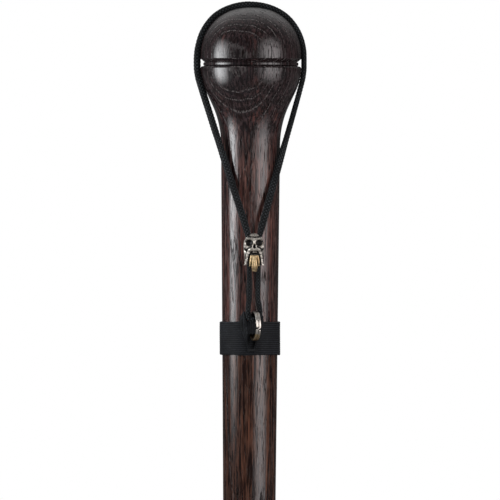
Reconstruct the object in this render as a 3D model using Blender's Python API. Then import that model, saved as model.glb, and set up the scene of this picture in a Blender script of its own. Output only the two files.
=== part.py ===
"""A walking cane: a turned wooden knob on a tapered shaft, a rubber ferrule, and a wrist strap with a bead and a ring.

Metres, +Z up. The origin is the middle of the ferrule's underside, and the front of the strap faces -Y.
"""

import math

import bmesh
import bpy
from mathutils import Vector

MM = 0.001

# Whole cane
CANE_HEIGHT = 915.0 * MM
TURNED_SIDES = 40
GAP = 0.3 * MM

# Handle
HANDLE_LENGTH = 149.0 * MM
KNOB_RADIUS = 22.65 * MM
KNOB_ROWS = 13
NECK_RADIUS = 13.3 * MM
GROOVE_WIDTH = 4.2 * MM
GROOVE_DEPTH = 1.9 * MM
GROOVE_SLANT = 1.7 * MM
GROOVE_BEAD_RISE = 0.3 * MM
GROOVE_EDGE = 0.35 * MM

# Flare from the knob to the neck: an arc out, a cone and an arc in, as shares of the two radii's difference
FLARE_ANGLE = math.radians(25.0)
FLARE_BOWL_SHARE = 0.2585
FLARE_NECK_SHARE = 0.4259
FLARE_ROWS = 7

# Shaft
TIP_RADIUS = 9.0 * MM
TAPER_POWER = 2.0
HANDLE_TAPER_ROWS = 5
SHAFT_TAPER_ROWS = 14
TIP_CHAMFER = 1.0 * MM

# Stud between handle and shaft
STUD_RADIUS = 4.0 * MM
STUD_LENGTH = 70.0 * MM
STUD_CHAMFER = 0.8 * MM

# Ferrule
FERRULE_HEIGHT = 42.0 * MM
FERRULE_WALL = 2.9 * MM
FERRULE_FLOOR = 8.0 * MM
FERRULE_FOOT_RADIUS = 17.5 * MM
FERRULE_FOOT_HEIGHT = 5.0 * MM
FERRULE_FOOT_EDGE = 1.25 * MM
FERRULE_SKIRT_TOP = 17.0 * MM
FERRULE_SKIRT_ROWS = 6
FERRULE_LIP_RADIUS = 1.1 * MM
RIB_COUNT = 3
RIB_RISE = 0.9 * MM
RIB_HEIGHT = 3.2 * MM
RIB_FLAT = 1.0 * MM
RIB_PITCH = 4.0 * MM
TREAD_PAD_RADIUS = 5.0 * MM
TREAD_PITCH = 4.2 * MM
TREAD_GROOVE_WIDTH = 1.6 * MM
TREAD_GROOVE_DEPTH = 1.4 * MM
TREAD_RIM = 1.0 * MM
WASHER_THICKNESS = 1.6 * MM
WASHER_MARGIN = 0.4 * MM

# Strap: it is turned a little to the right of the front
STRAP_TURN = math.radians(5.0)
BAND_HEIGHT = 15.0 * MM
BAND_WALL = 0.85 * MM
BAND_EDGE = 0.3 * MM

# Split ring: two turns of flat strip, joined by a jog
RING_RADIUS = 6.7 * MM
RING_STRIP_DEPTH = 1.1 * MM
RING_STRIP_WIDTH = 1.05 * MM
RING_TURN_GAP = 0.12 * MM
RING_STRIP_EDGE = 0.2 * MM
RING_JOG = math.radians(10.0)
RING_JOG_AT = math.radians(-12.0)
RING_STEPS = 176
RING_SIDEWAYS = 0.4 * MM
RING_RISE = 5.7 * MM
RING_YAW = math.radians(10.0)

# Wrist cord and bead: two strands side by side run down through the bead to the ring
CORD_RADIUS = 1.3 * MM
STRAND_SIDEWAYS = 2.0 * MM
SKULL_DROP = 116.1 * MM
SKULL_HEIGHT = 14.9 * MM
BORE_PLAY = 0.35 * MM
TEMPLE_WALL = 1.35 * MM
SKULL_FOOT_WALL = 0.6 * MM

# Fabric loop that is gathered through the ring. Its columns are told apart by their share of the half width
LOOP_THICKNESS = 1.1 * MM
LOOP_TOP_HALF_WIDTH = 5.3 * MM
LOOP_FOOT_HALF_WIDTH = 1.7 * MM
LOOP_TOP_RISE = 5.4 * MM
LOOP_CORNER_RISE = 2.6 * MM
LOOP_FOOT_LIFT = 1.2 * MM
LOOP_CLEARANCE = 0.35 * MM
LOOP_WAIST_MARGIN = 1.0 * MM
LOOP_WAIST_COLUMNS = (0.46, 0.70)
LOOP_PULL_COLUMNS = (0.50, 0.95)
LOOP_CORNER_COLUMNS = (0.55, 1.0)
LOOP_PLEAT_COLUMNS = (0.3, 0.6)
LOOP_PLEATS = 3
LOOP_PLEAT_DEPTH = 0.18 * MM
LOOP_COLUMNS = 28
LOOP_ROWS = 12
SURFACE_STEP = 0.01

# Thread that sews the loop down
TACK_THICKNESS = 0.6 * MM
TACK_WIDTH = 1.3 * MM
TACK_LENGTH = 4.4 * MM
TACK_MARGIN = 0.4 * MM

# Route of the cord's right half, as (sideways, forward, drop below the knob's top)
CORD_OVER_KNOB = [
    (0.0000, -0.0055, -0.0013),
    (0.0084, -0.0052, 0.0001),
    (0.0159, -0.0046, 0.0043),
    (0.0213, -0.0038, 0.0111),
    (0.0239, -0.0029, 0.0187),
    (0.0243, -0.0019, 0.0262),
    (0.0239, -0.0010, 0.0307),
    (0.0229, 0.0002, 0.0348),
    (0.0187, 0.0042, 0.0487),
    (0.0135, 0.0082, 0.0657),
    (0.0083, 0.0130, 0.0832),
]
# The rest of it, with forward measured from the bead's bore
CORD_TO_RING = [
    (0.0047, -0.0012, 0.0952),
    (0.0030, -0.0002, 0.1013),
    (0.0021, 0.0000, 0.1070),
    (STRAND_SIDEWAYS, 0.0000, 0.1150),
    (STRAND_SIDEWAYS, 0.0000, 0.1240),
]
# The bight through the ring, as (sideways, forward, up) from the ring's centre
HITCH_ROUTE = [
    (-0.0024, -0.0025, 0.0125),
    (-0.0027, -0.0021, 0.0099),
    (-0.0030, -0.0015, 0.0073),
    (-0.0030, -0.0014, 0.0053),
    (-0.0022, -0.0015, 0.0034),
    (-0.0003, -0.0018, 0.0026),
    (0.0016, -0.0022, 0.0034),
    (0.0024, -0.0023, 0.0053),
    (0.0024, -0.0023, 0.0073),
    (0.0020, -0.0024, 0.0099),
    (0.0016, -0.0025, 0.0125),
]
CORD_STEP = 5.0 * MM
HITCH_STEP = 1.3 * MM
ROUTE_SUBSTEPS = 20

# Skull's forms: angle off the front, height, half angle, half height, rise and how steep the rim is.
# Heights are shares of the skull's height, and rises are shares of its half width.
SKULL_FORMS = [
    (0.47, 0.620, 0.29, 0.090, -0.36, 4.0),
    (0.00, 0.500, 0.13, 0.055, -0.24, 2.5),
    (0.45, 0.745, 0.46, 0.038, 0.12, 2.0),
    (0.92, 0.505, 0.20, 0.055, 0.13, 2.0),
    (1.25, 0.670, 0.30, 0.100, -0.07, 2.0),
    (1.06, 0.400, 0.18, 0.045, -0.14, 2.0),
    (0.22, 0.410, 0.24, 0.036, 0.11, 2.0),
    (0.52, 0.385, 0.20, 0.042, 0.11, 2.0),
    (0.78, 0.330, 0.16, 0.055, 0.12, 2.0),
    (0.93, 0.235, 0.13, 0.070, 0.13, 2.0),
    (1.03, 0.125, 0.13, 0.070, 0.15, 2.0),
    (1.09, 0.010, 0.14, 0.080, 0.22, 2.0),
    (0.00, 0.335, 0.36, 0.024, -0.11, 3.0),
]
FACE_ANGLES = (1.1, 1.6)
BROW_SHARE = 0.60
CROWN_FULLNESS = 2.2
CROWN_TIP = 0.4 * MM
SKULL_SIDES = 72
SKULL_ROWS = 34
BORE_SIDES = 20
BORE_OVERRUN = 1.5 * MM
BORE_MOUTH_FLARE = 1.2 * MM
BORE_MOUTH_DEPTH = 6.0 * MM

# Brass-tone jaw and beard, in a seat cut back into the skull's front. Its middle tuft hangs lowest
JAW_TOP_ANGLE = math.radians(29.0)
JAW_FOOT_ANGLE = math.radians(40.0)
JAW_DROP = 2.9 * MM
JAW_SIDE_DROP = 0.5 * MM
JAW_TUFT_SHARES = (0.36, 0.62)
JAW_TOP = 3.9 * MM
JAW_SEAT_WALL = 1.85 * MM
JAW_SEAT_CHAMFER = 0.35 * MM
JAW_SEAT_ROWS = 6
JAW_SEAT_MARGIN = 1.5
JAW_SET_BACK = 0.25 * MM
JAW_CHIN = 0.35 * MM
JAW_UNDERCUT = 0.4 * MM
JAW_COLUMNS = 18
JAW_ROWS = 8

# Places and sizes worked out from these
KNOB_CENTRE = CANE_HEIGHT - KNOB_RADIUS
GROOVE_FOOT = KNOB_CENTRE - GROOVE_WIDTH
SEAM = CANE_HEIGHT - HANDLE_LENGTH
SHAFT_FOOT = FERRULE_FLOOR + WASHER_THICKNESS + 2 * GAP
FERRULE_COLLAR = TIP_RADIUS + GAP + FERRULE_WALL
BAND_FOOT = SEAM - BAND_HEIGHT / 2
BAND_TOP = SEAM + BAND_HEIGHT / 2
LOOP_INSIDE = RING_RADIUS - RING_STRIP_DEPTH - LOOP_CLEARANCE - LOOP_THICKNESS / 2
LOOP_WAIST_ABOVE = LOOP_INSIDE - 2 * CORD_RADIUS
LOOP_WAIST_BELOW = LOOP_INSIDE - LOOP_WAIST_MARGIN
BORE_HALF_WIDTH = STRAND_SIDEWAYS + CORD_RADIUS + BORE_PLAY
BORE_HALF_DEPTH = CORD_RADIUS + BORE_PLAY
SKULL_FOOT = CANE_HEIGHT - SKULL_DROP
SKULL_HALF_WIDTH = BORE_HALF_WIDTH + TEMPLE_WALL
JAW_SEAT = BORE_HALF_DEPTH + JAW_SEAT_WALL


def clear_scene():
    for thing in list(bpy.data.objects):
        bpy.data.objects.remove(thing)


def finish(name, colour, roughness, metallic):
    """A Principled material."""
    material = bpy.data.materials.new(name)
    material.use_nodes = True
    shader = material.node_tree.nodes["Principled BSDF"]
    shader.inputs["Base Color"].default_value = (*colour, 1.0)
    shader.inputs["Roughness"].default_value = roughness
    shader.inputs["Metallic"].default_value = metallic
    material.diffuse_color = (*colour, 1.0)
    return material


def add_object(name, data, material, parent=None):
    made = bpy.data.objects.new(name, data)
    made.data.materials.append(material)
    made.parent = parent
    bpy.context.scene.collection.objects.link(made)
    return made


def mesh_from(name, bm, sharp_angle=40.0):
    """The mesh of a bmesh, faces out and shaded smooth."""
    bmesh.ops.recalc_face_normals(bm, faces=bm.faces)
    mesh = bpy.data.meshes.new(name)
    bm.to_mesh(mesh)
    bm.free()
    mesh.shade_smooth()
    mesh.set_sharp_from_angle(angle=math.radians(sharp_angle))
    return mesh


def lathe(name, outline, closed):
    """The solid that an outline of (radius, height) points sweeps round Z."""
    bm = bmesh.new()
    verts = [bm.verts.new((radius, 0.0, height)) for radius, height in outline]
    pairs = list(zip(verts, verts[1:]))
    if closed:
        pairs.append((verts[-1], verts[0]))
    edges = [bm.edges.new(pair) for pair in pairs]
    bmesh.ops.spin(
        bm,
        geom=verts + edges,
        axis=(0, 0, 1),
        cent=(0, 0, 0),
        angle=math.tau,
        steps=TURNED_SIDES,
        use_duplicate=False,
    )
    bmesh.ops.remove_doubles(bm, verts=bm.verts, dist=0.001 * MM)
    return mesh_from(name, bm)


def arc(centre, radius, start, end, steps):
    """Points along an arc in the (radius, height) plane, from angle start to angle end."""
    found = []
    for step in range(steps + 1):
        angle = start + (end - start) * step / steps
        found.append((centre[0] + radius * math.cos(angle), centre[1] + radius * math.sin(angle)))
    return found


def ease(value, low, high):
    """0 below low, 1 above high, and a smooth step between."""
    share = min(max((value - low) / (high - low), 0.0), 1.0)
    return share * share * (3.0 - 2.0 * share)


def flare_outline():
    """From the groove's foot down to where the taper starts."""
    narrowing = (KNOB_RADIUS - NECK_RADIUS) / (1.0 - math.cos(FLARE_ANGLE))
    bowl_radius = narrowing * FLARE_BOWL_SHARE
    neck_radius = narrowing * FLARE_NECK_SHARE
    points = arc((KNOB_RADIUS - bowl_radius, GROOVE_FOOT), bowl_radius, 0.0, -FLARE_ANGLE, FLARE_ROWS)
    cone_top = points[-1]
    neck_start = NECK_RADIUS + neck_radius * (1.0 - math.cos(FLARE_ANGLE))
    cone_foot = cone_top[1] - (cone_top[0] - neck_start) / math.tan(FLARE_ANGLE)
    neck_centre = (NECK_RADIUS + neck_radius, cone_foot - neck_radius * math.sin(FLARE_ANGLE))
    return points + arc(neck_centre, neck_radius, math.pi - FLARE_ANGLE, math.pi, FLARE_ROWS)


TAPER_TOP = flare_outline()[-1][1]


def wood_radius(height):
    """The radius of neck and shaft: a taper that eases off towards the tip."""
    share = (height - SHAFT_FOOT) / (TAPER_TOP - SHAFT_FOOT)
    return TIP_RADIUS + (NECK_RADIUS - TIP_RADIUS) * share**TAPER_POWER


BAND_BORE = wood_radius(BAND_TOP) + GAP
BAND_OUTER = BAND_BORE + BAND_WALL
STRAND_FORWARD = wood_radius(SKULL_FOOT + SKULL_HEIGHT) + GAP + SKULL_HALF_WIDTH


def taper_outline(top, foot, rows):
    heights = [top + (foot - top) * row / rows for row in range(rows + 1)]
    return [(wood_radius(height), height) for height in heights]


def stud_bore(face, direction):
    """The blind hole for the stud, from the seam's face to the axis."""
    end = face + direction * (STUD_LENGTH / 2 + GAP)
    return [(STUD_RADIUS + GAP, face), (STUD_RADIUS + GAP, end), (0.0, end)]


def groove_outline():
    """The groove round the knob: its upper wall slants, and its floor is a shallow bead."""
    floor = KNOB_RADIUS - GROOVE_DEPTH
    floor_top = KNOB_CENTRE - GROOVE_SLANT
    return [
        (KNOB_RADIUS, KNOB_CENTRE + GROOVE_EDGE / 2),
        (KNOB_RADIUS - GROOVE_EDGE, KNOB_CENTRE - GROOVE_EDGE / 2),
        (floor, floor_top),
        (floor + GROOVE_BEAD_RISE, floor_top - GROOVE_EDGE),
        (floor + GROOVE_BEAD_RISE, GROOVE_FOOT + GROOVE_EDGE * 2),
        (floor, GROOVE_FOOT + GROOVE_EDGE),
        (floor, GROOVE_FOOT),
        (KNOB_RADIUS - GROOVE_EDGE, GROOVE_FOOT),
    ]


def make_handle(wood):
    face = SEAM + GAP / 2
    outline = arc((0.0, KNOB_CENTRE), KNOB_RADIUS, math.pi / 2, 0.0, KNOB_ROWS)[:-1]
    outline += groove_outline()
    outline += flare_outline()[1:]
    outline += taper_outline(TAPER_TOP, face, HANDLE_TAPER_ROWS)[1:]
    outline += stud_bore(face, 1)
    add_object("knob_handle", lathe("knob_handle", outline, False), wood)


def make_shaft(wood):
    face = SEAM - GAP / 2
    outline = stud_bore(face, -1)[::-1]
    outline += taper_outline(face, SHAFT_FOOT + TIP_CHAMFER, SHAFT_TAPER_ROWS)
    outline += [(TIP_RADIUS - TIP_CHAMFER, SHAFT_FOOT), (0.0, SHAFT_FOOT)]
    add_object("shaft", lathe("shaft", outline, False), wood)


def make_stud(steel):
    half = STUD_LENGTH / 2
    outline = [
        (0.0, SEAM + half),
        (STUD_RADIUS - STUD_CHAMFER, SEAM + half),
        (STUD_RADIUS, SEAM + half - STUD_CHAMFER),
        (STUD_RADIUS, SEAM - half + STUD_CHAMFER),
        (STUD_RADIUS - STUD_CHAMFER, SEAM - half),
        (0.0, SEAM - half),
    ]
    add_object("joint_stud", lathe("joint_stud", outline, False), steel)


def tread_outline():
    """The underside, from the flat pad in the middle out to the foot's edge."""
    room = FERRULE_FOOT_RADIUS - FERRULE_FOOT_EDGE - TREAD_RIM - TREAD_PAD_RADIUS
    grooves = 1 + int((room - TREAD_GROOVE_WIDTH) / TREAD_PITCH)
    points = [(0.0, 0.0)]
    for groove in range(grooves):
        inner = TREAD_PAD_RADIUS + groove * TREAD_PITCH
        outer = inner + TREAD_GROOVE_WIDTH
        points += [(inner, 0.0), (inner, TREAD_GROOVE_DEPTH), (outer, TREAD_GROOVE_DEPTH), (outer, 0.0)]
    points.append((FERRULE_FOOT_RADIUS - FERRULE_FOOT_EDGE, 0.0))
    points.append((FERRULE_FOOT_RADIUS, FERRULE_FOOT_EDGE))
    return points


def skirt_outline():
    """The hollow curve from the foot up to the collar."""
    points = []
    for step in range(FERRULE_SKIRT_ROWS + 1):
        share = step / FERRULE_SKIRT_ROWS
        swell = (FERRULE_FOOT_RADIUS - FERRULE_COLLAR) * (1.0 - math.sin(share * math.pi / 2))
        height = FERRULE_FOOT_HEIGHT + (FERRULE_SKIRT_TOP - FERRULE_FOOT_HEIGHT) * share
        points.append((FERRULE_COLLAR + swell, height))
    return points


def rib_outline(foot):
    """One soft rib round the ferrule's collar."""
    slope = (RIB_HEIGHT - RIB_FLAT) / 2
    return [
        (FERRULE_COLLAR, foot),
        (FERRULE_COLLAR + RIB_RISE, foot + slope),
        (FERRULE_COLLAR + RIB_RISE, foot + slope + RIB_FLAT),
        (FERRULE_COLLAR, foot + RIB_HEIGHT),
    ]


def make_ferrule(rubber):
    outline = tread_outline() + skirt_outline()
    first_rib = FERRULE_HEIGHT - FERRULE_LIP_RADIUS - RIB_COUNT * RIB_PITCH
    for rib in range(RIB_COUNT):
        outline += rib_outline(first_rib + rib * RIB_PITCH)
    lip_centre = (FERRULE_COLLAR - FERRULE_LIP_RADIUS, FERRULE_HEIGHT - FERRULE_LIP_RADIUS)
    outline += arc(lip_centre, FERRULE_LIP_RADIUS, 0.0, math.pi / 2, 3)
    outline.append((wood_radius(FERRULE_HEIGHT) + GAP, FERRULE_HEIGHT))
    outline.append((TIP_RADIUS + GAP, SHAFT_FOOT))
    outline.append((TIP_RADIUS + GAP, FERRULE_FLOOR))
    outline.append((0.0, FERRULE_FLOOR))
    add_object("ferrule", lathe("ferrule", outline, False), rubber)


def make_washer(steel):
    radius = TIP_RADIUS - WASHER_MARGIN
    foot = FERRULE_FLOOR + GAP
    outline = [(0.0, foot + WASHER_THICKNESS), (radius, foot + WASHER_THICKNESS), (radius, foot), (0.0, foot)]
    add_object("ferrule_washer", lathe("ferrule_washer", outline, False), steel)


def make_band(fabric, strap):
    outline = [
        (BAND_BORE, BAND_TOP),
        (BAND_OUTER - BAND_EDGE, BAND_TOP),
        (BAND_OUTER, BAND_TOP - BAND_EDGE),
        (BAND_OUTER, BAND_FOOT + BAND_EDGE),
        (BAND_OUTER - BAND_EDGE, BAND_FOOT),
        (BAND_BORE, BAND_FOOT),
    ]
    add_object("strap_band", lathe("strap_band", outline, True), fabric, strap)


def ring_centre():
    """The ring's centre in the strap's frame: its back lies in the fabric loop, just off the band."""
    return Vector((RING_SIDEWAYS, -(BAND_OUTER + GAP + RING_RADIUS), SEAM + RING_RISE))


def sweep(name, stations):
    """A solid lofted through a list of sections, each a list of as many points."""
    bm = bmesh.new()
    rows = [[bm.verts.new(point) for point in section] for section in stations]
    for row, following in zip(rows, rows[1:]):
        for side in range(len(row)):
            other = (side + 1) % len(row)
            bm.faces.new((row[side], row[other], following[other], following[side]))
    bm.faces.new(rows[0][::-1])
    bm.faces.new(rows[-1])
    return mesh_from(name, bm)


def strip_section():
    """The ring's flat strip, as (depth, width), its outer edges eased."""
    depth = RING_STRIP_DEPTH / 2
    width = RING_STRIP_WIDTH / 2
    return [
        (depth - RING_STRIP_EDGE, -width),
        (depth, -width + RING_STRIP_EDGE),
        (depth, width - RING_STRIP_EDGE),
        (depth - RING_STRIP_EDGE, width),
        (-depth, width),
        (-depth, -width),
    ]


def make_ring(steel, strap):
    """Two turns of strip side by side. The strip crosses from one turn to the other in a jog."""
    middle = RING_RADIUS - RING_STRIP_DEPTH / 2
    turn_offset = (RING_STRIP_WIDTH + RING_TURN_GAP) / 2
    sweep_angle = 2 * (math.tau - RING_JOG)
    stations = []
    for step in range(RING_STEPS + 1):
        angle = RING_JOG + sweep_angle * step / RING_STEPS
        side = 2.0 * ease(angle, math.tau - RING_JOG, math.tau + RING_JOG) - 1.0
        around = angle + RING_JOG_AT
        section = []
        for depth, width in strip_section():
            reach = middle + depth
            section.append((side * turn_offset + width, -reach * math.cos(around), reach * math.sin(around)))
        stations.append(section)
    ring = add_object("split_ring", sweep("split_ring", stations), steel, strap)
    ring.location = ring_centre()
    ring.rotation_euler = (0.0, 0.0, RING_YAW)


def loop_place(across, up):
    """A point of the loop's middle surface in the strap's frame. across runs from -1 to 1, up from 0 to 1."""
    centre = ring_centre()
    spread = abs(across)
    waist = 1.0 - ease(spread, *LOOP_WAIST_COLUMNS)
    corner = ease(spread, *LOOP_CORNER_COLUMNS)
    top_wing = BAND_TOP + LOOP_TOP_RISE + (LOOP_CORNER_RISE - LOOP_TOP_RISE) * corner
    foot_wing = BAND_FOOT + LOOP_FOOT_LIFT
    top = top_wing + (centre.z + LOOP_WAIST_ABOVE - top_wing) * waist
    foot = foot_wing + (centre.z - LOOP_WAIST_BELOW - foot_wing) * waist
    height = foot + (top - foot) * up
    opening = ease(height, foot_wing, BAND_TOP)
    half_width = LOOP_FOOT_HALF_WIDTH + (LOOP_TOP_HALF_WIDTH - LOOP_FOOT_HALF_WIDTH) * opening
    sideways = centre.x - LOOP_INSIDE * math.sin(RING_YAW) + across * half_width
    flat = math.sqrt((BAND_OUTER + GAP + LOOP_THICKNESS / 2) ** 2 - sideways**2)
    drop = min(abs(height - centre.z), LOOP_WAIST_BELOW) * waist
    gathered = -centre.y - math.sqrt(LOOP_INSIDE**2 - drop**2)
    sewn_top = foot_wing + 2 * TACK_MARGIN + TACK_WIDTH
    pull = (1.0 - ease(spread, *LOOP_PULL_COLUMNS)) * ease(height, sewn_top, centre.z - LOOP_WAIST_BELOW)
    pleat = LOOP_PLEAT_DEPTH * ease(spread, *LOOP_PLEAT_COLUMNS) * math.sin(up * LOOP_PLEATS * math.tau)
    forward = flat + (gathered - flat) * pull + pleat * opening
    return Vector((sideways, -forward, height))


def surface_normal(place, across, up):
    """The outward direction of the surface that place(across, up) describes."""
    along = place(min(across + SURFACE_STEP, 1.0), up) - place(max(across - SURFACE_STEP, -1.0), up)
    rise = place(across, min(up + SURFACE_STEP, 1.0)) - place(across, max(up - SURFACE_STEP, 0.0))
    return along.cross(rise).normalized()


def sheet_solid(name, place, columns, rows, thickness):
    """A closed solid, this thick, round the surface that place(across, up) describes."""
    fronts, backs = [], []
    for column in range(columns + 1):
        across = -1.0 + 2.0 * column / columns
        middles = [place(across, row / rows) for row in range(rows + 1)]
        halves = [surface_normal(place, across, row / rows) * thickness / 2 for row in range(rows + 1)]
        fronts.append([middle + half for middle, half in zip(middles, halves)])
        backs.append([middle - half for middle, half in zip(middles, halves)])
    return closed_between(name, fronts, backs)


def closed_between(name, fronts, backs):
    """The closed solid between two grids of points of the same size."""
    bm = bmesh.new()
    front = [[bm.verts.new(point) for point in line] for line in fronts]
    back = [[bm.verts.new(point) for point in line] for line in backs]
    columns, rows = len(front) - 1, len(front[0]) - 1
    for i in range(columns):
        for j in range(rows):
            bm.faces.new((front[i][j], front[i + 1][j], front[i + 1][j + 1], front[i][j + 1]))
            bm.faces.new((back[i][j], back[i][j + 1], back[i + 1][j + 1], back[i + 1][j]))
    for i in range(columns):
        bm.faces.new((front[i][0], back[i][0], back[i + 1][0], front[i + 1][0]))
        bm.faces.new((front[i][rows], front[i + 1][rows], back[i + 1][rows], back[i][rows]))
    for j in range(rows):
        bm.faces.new((front[0][j], front[0][j + 1], back[0][j + 1], back[0][j]))
        bm.faces.new((front[columns][j], back[columns][j], back[columns][j + 1], front[columns][j + 1]))
    return mesh_from(name, bm)


def make_loop(fabric, strap):
    mesh = sheet_solid("ring_loop", loop_place, LOOP_COLUMNS, LOOP_ROWS, LOOP_THICKNESS)
    add_object("ring_loop", mesh, fabric, strap)


def side_share(height):
    """How far up the loop's side edge a height is, from 0 to 1."""
    foot = loop_place(1.0, 0.0).z
    return (height - foot) / (loop_place(1.0, 1.0).z - foot)


def make_side_tack(name, side, thread, strap):
    """A pad of thread that lies on one side edge of the loop. side is -1 on the left and 1 on the right."""
    lift = LOOP_THICKNESS / 2 + GAP + TACK_THICKNESS / 2
    half = TACK_WIDTH / 2 / LOOP_TOP_HALF_WIDTH
    middle = 1.0 - half - TACK_MARGIN / 2 / LOOP_TOP_HALF_WIDTH
    low = side_share(BAND_TOP - TACK_LENGTH)
    high = side_share(BAND_TOP)

    def place(across, up):
        at = side * middle + across * half
        share = low + (high - low) * up
        return loop_place(at, share) + surface_normal(loop_place, at, share) * lift

    add_object(name, sheet_solid(name, place, 2, 4, TACK_THICKNESS), thread, strap)


def make_foot_tack(thread, strap):
    """A pad of thread across the foot of the loop, where both its wings meet the band."""
    radius = BAND_OUTER + GAP + LOOP_THICKNESS + GAP + TACK_THICKNESS / 2
    foot = BAND_FOOT + LOOP_FOOT_LIFT + TACK_MARGIN

    def place(across, up):
        turn = across * TACK_LENGTH / 2 / radius
        return Vector((radius * math.sin(turn), -radius * math.cos(turn), foot + up * TACK_WIDTH))

    add_object("bar_tack_foot", sheet_solid("bar_tack_foot", place, 6, 2, TACK_THICKNESS), thread, strap)


def make_tacks(thread, strap):
    make_foot_tack(thread, strap)
    make_side_tack("bar_tack_left", -1, thread, strap)
    make_side_tack("bar_tack_right", 1, thread, strap)


def smooth_route(points, spacing):
    """Points about this far apart along a smooth curve through the route's points."""
    ends = [points[0] * 2 - points[1]] + points + [points[-1] * 2 - points[-2]]
    fine = []
    for a, b, c, d in zip(ends, ends[1:], ends[2:], ends[3:]):
        for step in range(ROUTE_SUBSTEPS):
            t = step / ROUTE_SUBSTEPS
            bend = (2 * a - 5 * b + 4 * c - d) * t**2 + (3 * b - a - 3 * c + d) * t**3
            fine.append(b + ((c - a) * t + bend) / 2)
    fine.append(points[-1])
    lengths = [0.0]
    for before, after in zip(fine, fine[1:]):
        lengths.append(lengths[-1] + (after - before).length)
    count = max(2, round(lengths[-1] / spacing))
    found, index = [], 0
    for step in range(count + 1):
        target = lengths[-1] * step / count
        while index < len(fine) - 2 and lengths[index + 1] < target:
            index += 1
        share = (target - lengths[index]) / (lengths[index + 1] - lengths[index])
        found.append(fine[index].lerp(fine[index + 1], min(share, 1.0)))
    return found


def tube(name, points, radius, material, parent):
    """A cord: a curve with a round bevel and closed ends."""
    curve = bpy.data.curves.new(name, "CURVE")
    curve.dimensions = "3D"
    curve.bevel_depth = radius
    curve.bevel_resolution = 2
    curve.use_fill_caps = True
    spline = curve.splines.new("POLY")
    spline.points.add(len(points) - 1)
    for point, place in zip(spline.points, points):
        point.co = (*place, 1.0)
    add_object(name, curve, material, parent)


def make_cord(braid, strap):
    centre = ring_centre()
    hitch = [centre + Vector((side, -forward, up)) for side, forward, up in HITCH_ROUTE]
    tube("cord_hitch", smooth_route(hitch, HITCH_STEP), CORD_RADIUS, braid, strap)
    right = [Vector((side, -forward, CANE_HEIGHT - drop)) for side, forward, drop in CORD_OVER_KNOB]
    for side, forward, drop in CORD_TO_RING:
        right.append(Vector((side, -STRAND_FORWARD - forward, CANE_HEIGHT - drop)))
    left = [Vector((-point.x, point.y, point.z)) for point in right[:0:-1]]
    above = Vector((0.0, 0.0, GAP))
    route = [hitch[0] + above] + left + right + [hitch[-1] + above]
    tube("wrist_cord", smooth_route(route, CORD_STEP), CORD_RADIUS, braid, strap)


def on_bead(angle, reach, height):
    """A point in the bead's frame, from an angle off the front, a reach from its bore's axis and a height."""
    return Vector((reach * math.sin(angle), -reach * math.cos(angle), height))


def skull_body(height):
    """The skull's plain round form: a dome over sides that draw in towards the foot."""
    brow = SKULL_HEIGHT * BROW_SHARE
    if height > brow:
        crown = (height - brow) / (SKULL_HEIGHT - brow)
        return SKULL_HALF_WIDTH * math.sqrt(max(1.0 - crown**CROWN_FULLNESS, 0.0))
    foot = BORE_HALF_WIDTH + SKULL_FOOT_WALL
    return foot + (SKULL_HALF_WIDTH - foot) * ease(height, 0.0, brow)


def skull_relief(side, height):
    """How far the forms of the face raise the skull, at an angle off the front on either side."""
    raised = 0.0
    for at_angle, at_height, half_angle, half_height, rise, steepness in SKULL_FORMS:
        off_angle = (side - at_angle) / half_angle
        off_height = (height / SKULL_HEIGHT - at_height) / half_height
        raised += rise * math.exp(-(math.hypot(off_angle, off_height) ** steepness))
    return raised * SKULL_HALF_WIDTH * (1.0 - ease(side, *FACE_ANGLES))


def jaw_angle(height):
    """The half angle that the jaw takes up at a height: it widens downwards."""
    share = min(max(height / JAW_TOP, 0.0), 1.0)
    return JAW_FOOT_ANGLE + (JAW_TOP_ANGLE - JAW_FOOT_ANGLE) * share


def skull_reach(side, height):
    """How far the skull reaches from its bore's axis. The jaw's seat is cut back into its front."""
    seat_angle = jaw_angle(height) + GAP / JAW_SEAT + JAW_SEAT_MARGIN * math.tau / SKULL_SIDES
    reach = max(skull_body(height) + skull_relief(side, height), CROWN_TIP)
    if side <= seat_angle and height <= JAW_TOP + GAP:
        return min(reach, JAW_SEAT)
    return reach


def skull_heights():
    """The heights of the skull's rows: some for the seat, then closer together towards the crown."""
    seat_top = JAW_TOP + GAP
    start = seat_top + JAW_SEAT_CHAMFER
    heights = [seat_top * row / JAW_SEAT_ROWS for row in range(JAW_SEAT_ROWS + 1)]
    for row in range(SKULL_ROWS + 1):
        share = row / SKULL_ROWS
        eased = (share + math.sin(share * math.pi / 2)) / 2
        heights.append(start + (SKULL_HEIGHT - start) * eased)
    return heights


def make_bore_cutter(bead):
    """The oval bore for both strands. Its mouth widens sideways, where the strands part."""
    mouth = SKULL_HEIGHT - BORE_MOUTH_DEPTH
    levels = [
        (-BORE_OVERRUN, 0.0),
        (mouth, 0.0),
        (mouth + BORE_MOUTH_DEPTH / 2, BORE_MOUTH_FLARE / 3),
        (SKULL_HEIGHT, BORE_MOUTH_FLARE),
        (SKULL_HEIGHT + BORE_OVERRUN, BORE_MOUTH_FLARE),
    ]
    stations = []
    for height, flare in levels:
        straight = BORE_HALF_WIDTH + flare - BORE_HALF_DEPTH
        section = []
        for step in range(BORE_SIDES):
            turn = math.tau * (step + 0.5) / BORE_SIDES
            sideways = BORE_HALF_DEPTH * math.cos(turn) + math.copysign(straight, math.cos(turn))
            section.append((sideways, BORE_HALF_DEPTH * math.sin(turn), height))
        stations.append(section)
    cutter = bpy.data.objects.new("bore_cutter", sweep("bore_cutter", stations))
    bpy.context.scene.collection.objects.link(cutter)
    cutter.parent = bead
    cutter.hide_render = True
    cutter.display_type = "WIRE"
    return cutter


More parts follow.
